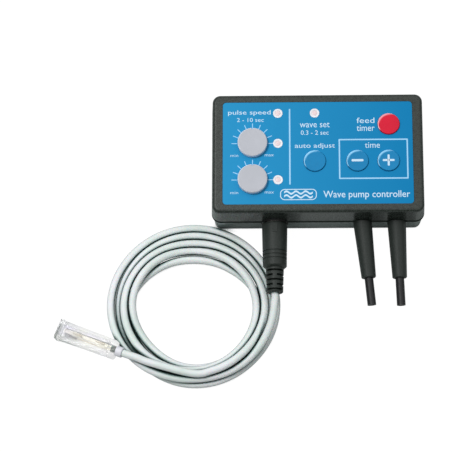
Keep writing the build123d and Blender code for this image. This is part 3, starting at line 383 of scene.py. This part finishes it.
MATERIALS = {
    "case_black": speckled_plastic(
        "case_black_abs",
        (0.001, 0.002, 0.001),
        (0.034, 0.046, 0.038),
        1300.0,
        0.26,
        0.10,
        0.62,
        seam=SEAM_Z,
    ),
    # Bottom shell: a much lighter copy of the black case plastic with full shine, painted light standing in
    # for the bright table lighting its wall.
    "case_lower": speckled_plastic(
        "case_lower_abs_painted_light", (0.055, 0.075, 0.070), (0.22, 0.27, 0.26), 1300.0, 0.28, 0.14, 1.0
    ),
    "panel_blue": printed_panel(),
    # On both buttons the light edge and arc colours are painted highlights.
    "button_blue": satin(
        "button_blue_cap",
        (0.010, 0.220, 0.475),
        0.3,
        shine=0.2,
        edge=(0.34, 0.70, 0.98),
        arc=(0.30, 0.66, 0.95),
    ),
    "button_red": satin(
        "button_red_cap",
        (0.66, 0.008, 0.036),
        0.3,
        shine=0.25,
        edge=(0.95, 0.66, 0.72),
        arc=(0.92, 0.36, 0.42),
    ),
    # On the knobs the edge colour is a painted highlight and the side colour is painted light on the
    # upright faces.
    "knob_grey": satin(
        "knob_lilac_grey",
        (0.475, 0.49, 0.54),
        0.38,
        0.05,
        2200.0,
        0.2,
        edge=(0.62, 0.66, 0.74),
        side=(0.86, 0.87, 0.93),
    ),
    "contact_pale": satin("contact_pale", (0.50, 0.45, 0.36), 0.45, 0.2),
    "window_white": satin("window_white_ring", (0.86, 0.86, 0.90), 0.4, 0.03),
    "window_pink": satin("window_pink_lens", (0.84, 0.68, 0.70), 0.3, 0.05, coat=0.3),
    "print_white": satin("print_white_ink", (0.60, 0.78, 0.93), 0.5, 0.03, shine=0.2),
    "print_pale_blue": satin("print_pale_blue_ink", (0.36, 0.66, 0.92), 0.5, 0.03, shine=0.2),
    "screw_steel": metal("zinc_plated_steel", (0.62, 0.62, 0.64), 0.3),
    "board_green": board_mask(),
    "part_black": speckled_plastic(
        "component_black", (0.012, 0.012, 0.012), (0.03, 0.03, 0.031), 2400.0, 0.5
    ),
    "part_tan": resistor_lacquer(),
    "led_clear": satin("lamp_tinted_epoxy", (0.75, 0.2, 0.16), 0.12, coat=0.8),
    "plug_metal": metal("nickel_plate", (0.30, 0.29, 0.27), 0.3),
    "contact_brass": metal("gold_flashed_brass", (0.80, 0.58, 0.24), 0.25),
    "terminal_green": satin("terminal_green", (0.04, 0.30, 0.12), 0.4),
    "header_white": satin("natural_nylon", (0.78, 0.76, 0.70), 0.45),
    "boot_black": speckled_plastic(
        "moulded_pvc_black", (0.010, 0.013, 0.011), (0.030, 0.038, 0.034), 2600.0, 0.42, 0.12, 0.4
    ),
    "lead_black": satin("lead_jacket_black", (0.010, 0.010, 0.011), 0.34, 0.2, 1600.0, 0.2),
    "core_wire": satin("core_insulation_red", (0.5, 0.04, 0.03), 0.4),
    "core_dark": satin("core_insulation_dark", (0.035, 0.022, 0.02), 0.45),
    "cable_grey": cable_jacket(),
    "capsule_clear": clear_shell(),
    "ferrule_white": satin("ferrule_translucent", (0.76, 0.76, 0.82), 0.3, coat=0.4),
    "sensor_cream": satin("sensor_cream_moulding", (0.70, 0.68, 0.60), 0.35),
    "sensor_lilac": satin("sensor_lilac_strip", (0.54, 0.54, 0.58), 0.4),
    "sensor_slit": satin("sensor_dark_slit", (0.16, 0.15, 0.14), 0.4),
}
M = MATERIALS
OTHER_LOOKS = {
    "photodiode_legs": "contact_pale",
    "bottom_shell": "case_lower",
    "left_lead_cores": "core_dark",
    "right_lead_cores": "core_dark",
    "sensor_cores": "sensor_cream",
}

for entry in frame["record"]["subparts"]:
    node_object = frame["nodes"][entry["node"]]
    node_object.data.materials.clear()
    look = OTHER_LOOKS.get(entry["node"], entry["material_slot"])
    node_object.data.materials.append(M[look])


# ------------------------------------------------------------------ mesh helpers
SHARP_FROM = math.radians(35)
ON_AXIS = 1e-6


def piece(name, bm, material, body, smooth=True):
    """Finishes a bmesh (in millimetres) as a piece that rides on a CAD body."""
    bmesh.ops.recalc_face_normals(bm, faces=bm.faces)
    bmesh.ops.scale(bm, vec=(MM, MM, MM), verts=bm.verts)
    mesh = bpy.data.meshes.new(name)
    bm.to_mesh(mesh)
    bm.free()
    made = bpy.data.objects.new(name, mesh)
    bpy.context.scene.collection.objects.link(made)
    mesh.materials.append(material)
    if smooth:
        mesh.shade_smooth()
        mesh.set_sharp_from_angle(angle=SHARP_FROM)
    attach(made, body)
    return made


def add_prism(bm, outline, low, high):
    """Closed upright prism over a list of (x, y) points."""
    bottom = [bm.verts.new((x, y, low)) for x, y in outline]
    top = [bm.verts.new((x, y, high)) for x, y in outline]
    count = len(outline)
    bm.faces.new(list(reversed(bottom)))
    bm.faces.new(top)
    for i in range(count):
        j = (i + 1) % count
        bm.faces.new((bottom[i], bottom[j], top[j], top[i]))


def rounded_outline(width, depth, radius, steps=6, centre=(0.0, 0.0)):
    """Points round a rectangle with round corners."""
    points = []
    corners = ((1, 1, 0), (-1, 1, 90), (-1, -1, 180), (1, -1, 270))
    for sx, sy, start in corners:
        cx = centre[0] + sx * (width / 2 - radius)
        cy = centre[1] + sy * (depth / 2 - radius)
        for k in range(steps + 1):
            a = math.radians(start + 90 * k / steps)
            points.append((cx + radius * math.cos(a), cy + radius * math.sin(a)))
    return points


def add_frame(bm, outer, inner, low, high):
    """Closed band between two outlines with the same number of points."""
    levels = ((outer, low), (outer, high), (inner, high), (inner, low))
    rings = [[bm.verts.new((x, y, z)) for x, y in line] for line, z in levels]
    count = len(outer)
    for r in range(4):
        first, second = rings[r], rings[(r + 1) % 4]
        for i in range(count):
            j = (i + 1) % count
            bm.faces.new((first[i], first[j], second[j], second[i]))


def add_revolved(bm, profile, origin, steps=72, matrix=None):
    """Closed solid of revolution about local +Z: profile is (radius, height) from axis to axis."""
    place = matrix or Matrix.Translation(origin)
    rings = []
    for radius, height in profile:
        if radius < ON_AXIS:
            rings.append([bm.verts.new(place @ Vector((0, 0, height)))])
            continue
        rings.append([
            bm.verts.new(place @ Vector((
                radius * math.cos(2 * math.pi * k / steps),
                radius * math.sin(2 * math.pi * k / steps),
                height,
            )))
            for k in range(steps)
        ])
    for first, second in zip(rings, rings[1:]):
        for k in range(steps):
            j = (k + 1) % steps
            corners = [first[k % len(first)], first[j % len(first)]]
            corners += [second[j % len(second)], second[k % len(second)]]
            unique = []
            for corner in corners:
                if corner not in unique:
                    unique.append(corner)
            if len(unique) >= 3:
                bm.faces.new(unique)


def add_tube(bm, points, radius, steps=28):
    """Round tube along a list of points, with flat closed ends."""
    count = len(points)
    tangents = []
    for i in range(count):
        ahead, behind = points[min(i + 1, count - 1)], points[max(i - 1, 0)]
        tangents.append((ahead - behind).normalized())
    side = tangents[0].cross(Vector((0, 0, 1))).normalized()
    rings = []
    for i in range(count):
        side = (side - side.dot(tangents[i]) * tangents[i]).normalized()
        up = side.cross(tangents[i])
        ring = []
        for k in range(steps):
            a = 2 * math.pi * k / steps
            ring.append(bm.verts.new(points[i] + (side * math.cos(a) + up * math.sin(a)) * radius))
        rings.append(ring)
    for first, second in zip(rings, rings[1:]):
        for k in range(steps):
            j = (k + 1) % steps
            bm.faces.new((first[k], first[j], second[j], second[k]))
    bm.faces.new(list(reversed(rings[0])))
    bm.faces.new(rings[-1])


# ------------------------------------------------------------------ the coiled sensor cable
CABLE_R = 2.2
COIL_X, COIL_Y = -72.1, -81.7
COIL_STATIONS = [
    (47.1, 16.2), (45.6, 7.6), (44.2, 6.5), (46.8, 7.0), (48.2, 3.6), (47.2, 2.3), (46.4, 2.3), (46.8, 2.3),
    (47.9, 2.3), (47.0, 2.3), (46.4, 2.3), (44.4, 2.3), (43.4, 2.3), (42.6, 2.3), (41.9, 2.3), (42.2, 2.3),
    (43.2, 2.3), (42.5, 2.3), (41.6, 2.3), (39.5, 2.3), (37.6, 2.3), (30.8, 2.3), (27.4, 2.3), (30.4, 2.3),
    (38.2, 2.3), (37.6, 2.3), (37.0, 2.3), (34.8, 3.4), (35.4, 6.9), (34.0, 6.4), (32.6, 2.4), (33.2, 7.0),
    (36.2, 6.7), (37.6, 6.8), (39.3, 6.6), (40.4, 7.0), (40.2, 6.6), (38.4, 5.0), (37.2, 2.6), (38.1, 5.2),
    (41.0, 6.5), (41.3, 10.2), (41.8, 10.8), (42.2, 11.4),
]
LEAVE_ANGLE = math.radians(-110.5)
LEAVE_RADIUS = 41.8
LEAVE_EIGHTHS = 42.0
TAIL = Vector((math.sin(LEAVE_ANGLE), -math.cos(LEAVE_ANGLE), 0))
LEAVE_AT = Vector((
    COIL_X + LEAVE_RADIUS * math.cos(LEAVE_ANGLE),
    COIL_Y + LEAVE_RADIUS * math.sin(LEAVE_ANGLE),
    0,
))
PLUG_X, PLUG_Z = -25.0, 17.0
CABLE_STRAIGHT_Y = (-63.0, -68.0, -73.0, -78.0)
TAIL_HEIGHTS = ((10.0, 11.5), (19.0, 11.8))
CAPSULE_START = 31.0
CAPSULE_HEIGHT = 10.5
FERRULE_LENGTH = 3.9
CAPSULE_PITCH = math.radians(9.0)
CAPSULE_TURN = LEAVE_ANGLE - math.radians(1.7)
CAPSULE_DIR = Vector((
    math.sin(CAPSULE_TURN) * math.cos(CAPSULE_PITCH),
    -math.cos(CAPSULE_TURN) * math.cos(CAPSULE_PITCH),
    -math.sin(CAPSULE_PITCH),
))
CAPSULE_SIDE = Vector((math.cos(CAPSULE_TURN), math.sin(CAPSULE_TURN), 0))
CAPSULE_UP = CAPSULE_DIR.cross(CAPSULE_SIDE)
CAPSULE_AT = LEAVE_AT + TAIL * CAPSULE_START + Vector((0, 0, CAPSULE_HEIGHT))


CONTROL_PER_EIGHTH = 3
COIL_CONTROLS = int(LEAVE_EIGHTHS * CONTROL_PER_EIGHTH)
POINTS_PER_SPAN = 5


def eased(values, place):
    """Catmull-Rom value between the stations either side of place."""
    last = len(values) - 1
    step = min(int(place), last - 1)
    part = place - step
    a, b, c, d = (values[min(max(step + k, 0), last)] for k in (-1, 0, 1, 2))
    return 0.5 * (
        2 * b
        + (c - a) * part
        + (2 * a - 5 * b + 4 * c - d) * part**2
        + (3 * b - a - 3 * c + d) * part**3
    )


def coil_point(eighths):
    """Centre of the cable after so many eighths of a turn."""
    radius = eased([r for r, _ in COIL_STATIONS], eighths)
    height = eased([h for _, h in COIL_STATIONS], eighths)
    angle = -math.radians(45.0 * eighths)
    return Vector((COIL_X + radius * math.cos(angle), COIL_Y + radius * math.sin(angle), height))


def smooth_points(control, per_span):
    """Catmull-Rom points through widely spaced control points."""
    points = []
    for i in range((len(control) - 1) * per_span + 1):
        place = i / per_span
        points.append(Vector([eased([p[k] for p in control], place) for k in range(3)]))
    return points


def build_cable():
    """One tube from the plug through all turns of the coil into the capsule."""
    control = [Vector((PLUG_X, y, PLUG_Z)) for y in CABLE_STRAIGHT_Y]
    control += [coil_point(k / CONTROL_PER_EIGHTH) for k in range(COIL_CONTROLS + 1)]
    for along, height in TAIL_HEIGHTS:
        control.append(LEAVE_AT + TAIL * along + Vector((0, 0, height)))
    control.append(CAPSULE_AT - CAPSULE_DIR * (FERRULE_LENGTH + 1.0))
    control.append(CAPSULE_AT + CAPSULE_DIR * 3.0)
    bm = bmesh.new()
    add_tube(bm, smooth_points(control, POINTS_PER_SPAN), CABLE_R)
    cable = piece("coiled_cable", bm, M["cable_grey"], "sensor_lead")
    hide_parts("sensor_cable")


build_cable()


# ------------------------------------------------------------------ inside the clear capsule
def capsule_frame(along, side, up):
    """Matrix with local X along the capsule, Y across it and Z upwards."""
    at = CAPSULE_AT + CAPSULE_DIR * along + CAPSULE_SIDE * side + CAPSULE_UP * up
    axes = Matrix((CAPSULE_DIR, CAPSULE_SIDE, CAPSULE_UP)).transposed().to_4x4()
    return Matrix.Translation(at) @ axes


def capsule_slab(name, material, slot, start, end, side, width, up, thick, corner=0.4):
    """Flat moulded strip lying along the capsule."""
    bm = bmesh.new()
    outline = rounded_outline(end - start, width, corner, 4)
    add_prism(bm, outline, -thick / 2, thick / 2)
    bmesh.ops.transform(bm, matrix=capsule_frame((start + end) / 2, side, up), verts=bm.verts)
    return piece(name, bm, M[material], "sensor_lead")


CONTACT_UP = 1.1
CONTACTS = (("near", 7.6, 13.4, 0.9), ("far", 21.8, 28.2, 0.7))


def contact_profile(length):
    """Radius and height of a turned contact with a thicker shoulder near its start."""
    shoulder, pin = 0.75, 0.45
    return (
        (0, 0),
        (0.55, 0),
        (shoulder, 0.5),
        (shoulder, 2.2),
        (pin, 2.6),
        (pin, length),
        (0, length),
    )


def build_capsule_inside():
    """Carrier strip, side strip, dark slit and two contacts seen through the clear walls."""
    upper = 1 if CAPSULE_SIDE.y > 0 else -1
    slab = capsule_slab
    slab("capsule_strip", "sensor_lilac", "ferrule_white", 5.4, 33.5, upper * 2.75, 1.5, 0.0, 3.6)
    slab("capsule_carrier", "sensor_cream", "ferrule_white", 6.0, 34.0, upper * 0.6, 2.0, 0.2, 1.2)
    slab("capsule_slit", "sensor_slit", "part_black", 24.5, 29.6, -upper * 1.7, 0.9, 1.4, 0.5, 0.3)
    lie_down = Matrix.Rotation(math.radians(90), 4, "Y")
    for name, start, end, side in CONTACTS:
        bm = bmesh.new()
        across = capsule_frame(start, upper * side, CONTACT_UP)
        add_revolved(bm, contact_profile(end - start), (0, 0, 0), 24, across @ lie_down)
        piece(f"capsule_contact_{name}", bm, M["contact_pale"], "sensor_lead")


build_capsule_inside()


# ------------------------------------------------------------------ indicator windows
LED_SPOTS = ((-22.8, 24.0), (-22.8, 5.8), (-22.8, -16.1), (-1.6, 24.0))
RING_R, RING_HOLE_R, LENS_R, WINDOW_FOOT = 2.75, 1.6, 1.55, -0.4
RING_PROFILE = (
    (RING_R, WINDOW_FOOT),
    (RING_R, 0.0),
    (2.62, 0.12),
    (1.75, 0.12),
    (RING_HOLE_R, 0.02),
    (RING_HOLE_R, WINDOW_FOOT),
    (RING_R, WINDOW_FOOT),
)
LENS_PROFILE = (
    (0, WINDOW_FOOT),
    (LENS_R, WINDOW_FOOT),
    (LENS_R, -0.05),
    (1.2, 0.10),
    (0.6, 0.18),
    (0, 0.2),
)


def build_windows():
    """Each window is a white ring round a small pinkish lens."""
    top = box_mm("front_panel")[1].z
    rings, lenses = bmesh.new(), bmesh.new()
    for x, y in LED_SPOTS:
        add_revolved(rings, RING_PROFILE, (x, y, top), 48)
        add_revolved(lenses, LENS_PROFILE, (x, y, top), 48)
    made = piece("window_rings", rings, M["window_white"], "enclosure")
    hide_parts("led_windows")
    piece("window_lenses", lenses, M["window_pink"], "enclosure")


build_windows()


# ------------------------------------------------------------------ mark moulded on the plug
PLUG_R = 7.35
ARROW_RAISED = 0.2
ARROW = ((-1.0, -42.6), (1.0, -42.6), (0.0, -39.6))


def build_plug_mark():
    """Raised triangle that shows which way up the plug goes."""
    top = PLUG_Z + PLUG_R + ARROW_RAISED
    bm = bmesh.new()
    add_prism(bm, [(PLUG_X + x, y) for x, y in ARROW], top, top + ARROW_RAISED)
    piece("plug_arrow", bm, M["boot_black"], "sensor_lead")


build_plug_mark()


# ------------------------------------------------------------------ printed panel
PANEL_TOP = box_mm("front_panel")[1].z
INK = 0.03
TICK_WIDTH = 0.45
TICK_INNER, TICK_OUTER = 8.9, 12.0
TICKS, TICK_STEP = 9, 22.5
DIVIDER_X, DIVIDER_TOP, DIVIDER_FOOT, DIVIDER_WIDTH = -16.0, 26.4, -18.8, 0.85
TIME_FRAME_AT = (31.9, -3.9)
TIME_FRAME_X, TIME_FRAME_Y, TIME_FRAME_LINE = 39.7, 24.1, 0.8
SIGN_HALF, MINUS_WIDTH, PLUS_WIDTH = 3.0, 1.35, 1.2


def print_piece(name, bm, body="enclosure", ink="print_white"):
    """Finishes a printed mark as its own thin piece of ink."""
    return piece(name, bm, M[ink], body, smooth=False)


def bar(bm, x0, y0, x1, y1, width, z):
    """Straight printed line with round ends."""
    along = Vector((x1 - x0, y1 - y0))
    length = along.length
    angle = math.atan2(along.y, along.x)
    turn = Matrix.Rotation(angle, 2)
    outline = rounded_outline(length + width * 0.6, width, width * 0.3, 2)
    middle = Vector(((x0 + x1) / 2, (y0 + y1) / 2))
    placed = [tuple(middle + turn @ Vector(p)) for p in outline]
    add_prism(bm, placed, z, z + INK)


def print_ticks(name, knob):
    """Scale marks over the upper half of a knob."""
    centre = centre_mm(knob)
    bm = bmesh.new()
    for k in range(TICKS):
        a = math.radians(180 - TICK_STEP * k)
        bar(
            bm,
            centre.x + TICK_INNER * math.cos(a),
            centre.y + TICK_INNER * math.sin(a),
            centre.x + TICK_OUTER * math.cos(a),
            centre.y + TICK_OUTER * math.sin(a),
            TICK_WIDTH,
            PANEL_TOP,
        )
    print_piece(name, bm, ink="print_pale_blue")


print_ticks("scale_upper", "upper_knob")
print_ticks("scale_lower", "lower_knob")


def print_lines():
    """Line between the two halves of the panel, and the frame round the time buttons."""
    bm = bmesh.new()
    bar(bm, DIVIDER_X, DIVIDER_TOP, DIVIDER_X, DIVIDER_FOOT, DIVIDER_WIDTH, PANEL_TOP)
    print_piece("divider_line", bm, ink="print_pale_blue")
    bm = bmesh.new()
    outer = rounded_outline(TIME_FRAME_X, TIME_FRAME_Y, 0.35, 3, TIME_FRAME_AT)
    both_lines = 2 * TIME_FRAME_LINE
    inner = rounded_outline(
        TIME_FRAME_X - both_lines, TIME_FRAME_Y - both_lines, 0.15, 3, TIME_FRAME_AT
    )
    add_frame(bm, outer, inner, PANEL_TOP, PANEL_TOP + INK)
    print_piece("time_frame_line", bm, ink="print_pale_blue")


print_lines()


def print_text(name, words, x_range, y_range, bold=0.0):
    """Generic lettering: flat closed letters, scaled to fill the stated box."""
    curve = bpy.data.curves.new(name + "_curve", "FONT")
    curve.body = words
    curve.resolution_u = 3
    curve.offset = bold
    curve.extrude = 0.01
    holder = bpy.data.objects.new(name + "_holder", curve)
    bpy.context.scene.collection.objects.link(holder)
    graph = bpy.context.evaluated_depsgraph_get()
    mesh = bpy.data.meshes.new_from_object(holder.evaluated_get(graph))
    bpy.data.objects.remove(holder)
    bpy.data.curves.remove(curve)
    bm = bmesh.new()
    bm.from_mesh(mesh)
    bpy.data.meshes.remove(mesh)
    bmesh.ops.remove_doubles(bm, verts=bm.verts, dist=1e-5)
    low = Vector((min(v.co[i] for v in bm.verts) for i in range(3)))
    high = Vector((max(v.co[i] for v in bm.verts) for i in range(3)))
    target_low = Vector((x_range[0], y_range[0], PANEL_TOP))
    target_high = Vector((x_range[1], y_range[1], PANEL_TOP + INK))
    for v in bm.verts:
        for i in range(3):
            share = (v.co[i] - low[i]) / (high[i] - low[i])
            v.co[i] = target_low[i] + share * (target_high[i] - target_low[i])
    print_piece(name, bm)


LABELS = [
    ("label_pulse", "pulse speed", (-51.5, -26.9), (22.6, 26.0), 0.004),
    ("label_pulse_span", "2 - 10 sec", (-46.4, -30.9), (18.9, 21.3)),
    ("label_min_upper", "min", (-50.1, -45.6), (-2.2, -0.6), -0.004),
    ("label_max_upper", "max", (-30.4, -25.2), (-2.0, -0.8), -0.004),
    ("label_min_lower", "min", (-50.1, -45.6), (-24.5, -22.9), -0.004),
    ("label_max_lower", "max", (-30.4, -25.2), (-24.3, -23.1), -0.004),
    ("label_wave", "wave set", (-10.2, 7.0), (15.3, 18.3)),
    ("label_wave_span", "0.3 - 2 sec", (-9.6, 6.4), (10.8, 13.5)),
    ("label_auto", "auto adjust", (-13.1, 9.9), (2.1, 5.7), 0.002),
    ("label_feed", "feed", (22.5, 32.8), (17.7, 21.0), 0.002),
    ("label_timer", "timer", (22.5, 32.8), (12.9, 16.5), 0.002),
    ("label_time", "time", (27.1, 35.7), (2.7, 6.0), 0.0),
    ("label_title", "Wave pump controller", (3.0, 52.4), (-28.2, -22.9), 0.006),
]
for label in LABELS:
    print_text(*label)


MARK_AT = (-11.2, -25.0)
WAVE_LENGTH, WAVE_HEIGHT, WAVE_HALF_WIDTH = 16.4, 0.75, 0.55
WAVE_CRESTS, WAVE_STEPS = 3, 72
WAVE_LIFTS = (1.2, -1.1)


def add_wave(bm, lift):
    """Flat wavy band of ink."""
    upper, lower = [], []
    for k in range(WAVE_STEPS + 1):
        x = MARK_AT[0] - WAVE_LENGTH / 2 + WAVE_LENGTH * k / WAVE_STEPS
        swing = WAVE_HEIGHT * math.sin(2 * math.pi * WAVE_CRESTS * k / WAVE_STEPS)
        y = MARK_AT[1] + lift + swing
        upper.append((x, y + WAVE_HALF_WIDTH))
        lower.append((x, y - WAVE_HALF_WIDTH))
    upper_low, upper_high, lower_low, lower_high = (
        [bm.verts.new((x, y, z)) for x, y in line]
        for line in (upper, lower)
        for z in (PANEL_TOP, PANEL_TOP + INK)
    )
    for k in range(WAVE_STEPS):
        bm.faces.new((upper_high[k], upper_high[k + 1], lower_high[k + 1], lower_high[k]))
        bm.faces.new((upper_low[k], lower_low[k], lower_low[k + 1], upper_low[k + 1]))
        bm.faces.new((upper_low[k], upper_low[k + 1], upper_high[k + 1], upper_high[k]))
        bm.faces.new((lower_low[k], lower_high[k], lower_high[k + 1], lower_low[k + 1]))
    for k in (0, WAVE_STEPS):
        bm.faces.new((upper_low[k], upper_high[k], lower_high[k], lower_low[k]))


def print_wave_mark():
    """Rounded outline round two rows of plain wave crests."""
    bm = bmesh.new()
    outer = rounded_outline(20.9, 6.6, 2.6, 8, MARK_AT)
    inner = rounded_outline(19.9, 5.6, 2.1, 8, MARK_AT)
    add_frame(bm, outer, inner, PANEL_TOP, PANEL_TOP + INK)
    print_piece("wave_mark_border", bm)
    for row, lift in enumerate(WAVE_LIFTS):
        bm = bmesh.new()
        add_wave(bm, lift)
        print_piece(f"wave_mark_{row}", bm)


print_wave_mark()


def print_signs():
    """Minus and plus on their own caps, so that they move with them."""
    for sign in ("minus", "plus"):
        x, y, _ = centre_mm(f"{sign}_button")
        top = box_mm(f"{sign}_button")[1].z
        bm = bmesh.new()
        if sign == "minus":
            bar(bm, x - SIGN_HALF, y, x + SIGN_HALF, y, MINUS_WIDTH, top)
        else:
            bar(bm, x - SIGN_HALF, y, x - PLUS_WIDTH / 2, y, PLUS_WIDTH, top)
            bar(bm, x + PLUS_WIDTH / 2, y, x + SIGN_HALF, y, PLUS_WIDTH, top)
            bar(bm, x, y - SIGN_HALF, x, y + SIGN_HALF, PLUS_WIDTH, top)
        print_piece(f"sign_{sign}", bm, f"{sign}_button")


print_signs()

# ------------------------------------------------------------------ stage, lights, camera
FLOOR_HALF = 6.0
FLOOR_DROP = 0.0002
FLOOR_GLOW = 0.93
GLOW_STRENGTH = 1.06
GLOW_THROUGH_CLEAR = 0.74
FLOOR_CONTACT = 0.004
WORLD_STRENGTH = 0.84
BACKDROP_WHITE = (1.25, 1.25, 1.25, 1.0)
SKY_TILT = (0.0, 0.25, 0.97)
SKY_STOPS = ((0.0, 0.04), (0.3, 0.16), (0.6, 0.70), (1.0, 1.0))
KEY_PLACE = (-0.55, 0.20, 1.40)
LIGHTS_AIM = (-0.03, -0.03, 0.0)
KEY_SIZE = 0.28
KEY_POWER = 8.4
SOFT_SIZE = 0.8
SOFT_POWER = 3.2


def build_stage():
    """White table that stays white to the eye, with only faint shadows and a painted contact shadow
    darkening its glow near the object.
    """
    bm = bmesh.new()
    bmesh.ops.create_grid(bm, x_segments=8, y_segments=8, size=FLOOR_HALF)
    mesh = bpy.data.meshes.new("floor")
    bm.to_mesh(mesh)
    bm.free()
    floor = bpy.data.objects.new("floor", mesh)
    floor.location.z = -FLOOR_DROP
    bpy.context.scene.collection.objects.link(floor)
    s = Shader("floor_white")
    paper = s.noise(40.0, 3.0, 0.5)
    white = s.ramp(paper, (0.3, (0.90, 0.91, 0.91)), (0.7, (0.92, 0.93, 0.93)))
    path = s.node("ShaderNodeLightPath")
    bounced = s.maths("MAXIMUM", path.outputs["Is Glossy Ray"], path.outputs["Is Diffuse Ray"])
    s.set(Base_Color=s.blend(bounced, white, (0.50, 0.54, 0.53)))
    s.set(Roughness=0.9, Specular_IOR_Level=0.1)
    glow = s.node("ShaderNodeEmission")
    s.put(glow.inputs["Strength"], GLOW_STRENGTH)
    # Painted contact shadow: the glow darkens close to the object and in narrow gaps between parts.
    deep, near, open_floor = (0.03, 0.06, 0.05), (0.50, 0.52, 0.52), (1.0, 1.0, 1.0)
    contact = s.ramp(s.openness(FLOOR_CONTACT), (0.16, deep), (0.32, near), (0.50, open_floor))
    s.put(glow.inputs["Color"], contact)
    through = s.maths("MULTIPLY", path.outputs["Is Transmission Ray"], GLOW_THROUGH_CLEAR)
    seen = s.maths("MAXIMUM", path.outputs["Is Camera Ray"], through)
    mixed = s.node("ShaderNodeMixShader")
    s.put(mixed.inputs[0], s.maths("MULTIPLY", seen, FLOOR_GLOW))
    s.tree.links.new(s.surface.outputs[0], mixed.inputs[1])
    s.tree.links.new(glow.outputs[0], mixed.inputs[2])
    s.tree.links.new(mixed.outputs[0], s.output.inputs[0])
    mesh.materials.append(s.material)


def area_light(name, place, target, size, power):
    """Round white panel light aimed at a point."""
    data = bpy.data.lights.new(name, "AREA")
    data.shape = "DISK"
    data.size = size
    data.energy = power
    lamp = bpy.data.objects.new(name, data)
    lamp.location = place
    aim = Vector(target) - Vector(place)
    lamp.rotation_euler = aim.to_track_quat("-Z", "Y").to_euler()
    bpy.context.scene.collection.objects.link(lamp)
    return lamp


def build_world():
    """Soft studio surround: bright overhead and behind, dark low down in front."""
    world = bpy.data.worlds.new("studio")
    world.use_nodes = True
    tree = world.node_tree
    background = tree.nodes["Background"]
    coords = tree.nodes.new("ShaderNodeTexCoord")
    tilt = tree.nodes.new("ShaderNodeVectorMath")
    tilt.operation = "DOT_PRODUCT"
    tilt.inputs[1].default_value = SKY_TILT
    tree.links.new(coords.outputs["Generated"], tilt.inputs[0])
    shades = tree.nodes.new("ShaderNodeValToRGB")
    shades.color_ramp.interpolation = "EASE"
    while len(shades.color_ramp.elements) < len(SKY_STOPS):
        shades.color_ramp.elements.new(1.0)
    for element, (place, shade) in zip(shades.color_ramp.elements, SKY_STOPS):
        element.position = place
        element.color = (shade * 0.99, shade, shade, 1.0)
    tree.links.new(tilt.outputs["Value"], shades.inputs[0])
    backdrop = tree.nodes.new("ShaderNodeMixRGB")
    backdrop.inputs[2].default_value = BACKDROP_WHITE
    path = tree.nodes.new("ShaderNodeLightPath")
    tree.links.new(path.outputs["Is Camera Ray"], backdrop.inputs[0])
    tree.links.new(shades.outputs[0], backdrop.inputs[1])
    tree.links.new(backdrop.outputs[0], background.inputs[0])
    background.inputs[1].default_value = WORLD_STRENGTH
    bpy.context.scene.world = world


def build_lights():
    """A small key that casts the shadows and a wide soft panel that gives the sheen."""
    key = area_light("key_left", KEY_PLACE, LIGHTS_AIM, KEY_SIZE, KEY_POWER)
    key.visible_glossy = False
    area_light("soft_left", KEY_PLACE, LIGHTS_AIM, SOFT_SIZE, SOFT_POWER)
    build_world()
    bpy.context.scene.view_settings.view_transform = "Standard"


LENS_PIXELS = 2068.0
FRAME_PIXELS = 452.0
SENSOR = 36.0
CAMERA_PLACE = (-0.015, -0.36741, 1.16563)
CAMERA_TURN = 6.602
CAMERA_ELEVATION = 73.897
CAMERA_ROLL = -6.698


def build_camera():
    """Long lens, looking down steeply from the near side."""
    data = bpy.data.cameras.new("camera")
    data.sensor_width = SENSOR
    data.lens = LENS_PIXELS / FRAME_PIXELS * SENSOR
    data.clip_end = 20.0
    camera = bpy.data.objects.new("camera", data)
    camera.location = CAMERA_PLACE
    turn = Matrix.Rotation(math.radians(CAMERA_TURN), 4, "Z")
    tilt = Matrix.Rotation(math.radians(90.0 - CAMERA_ELEVATION), 4, "X")
    roll = Matrix.Rotation(math.radians(CAMERA_ROLL), 4, "Z")
    camera.rotation_euler = (turn @ tilt @ roll).to_euler()
    bpy.context.scene.collection.objects.link(camera)
    bpy.context.scene.camera = camera


build_stage()
build_lights()
build_camera()
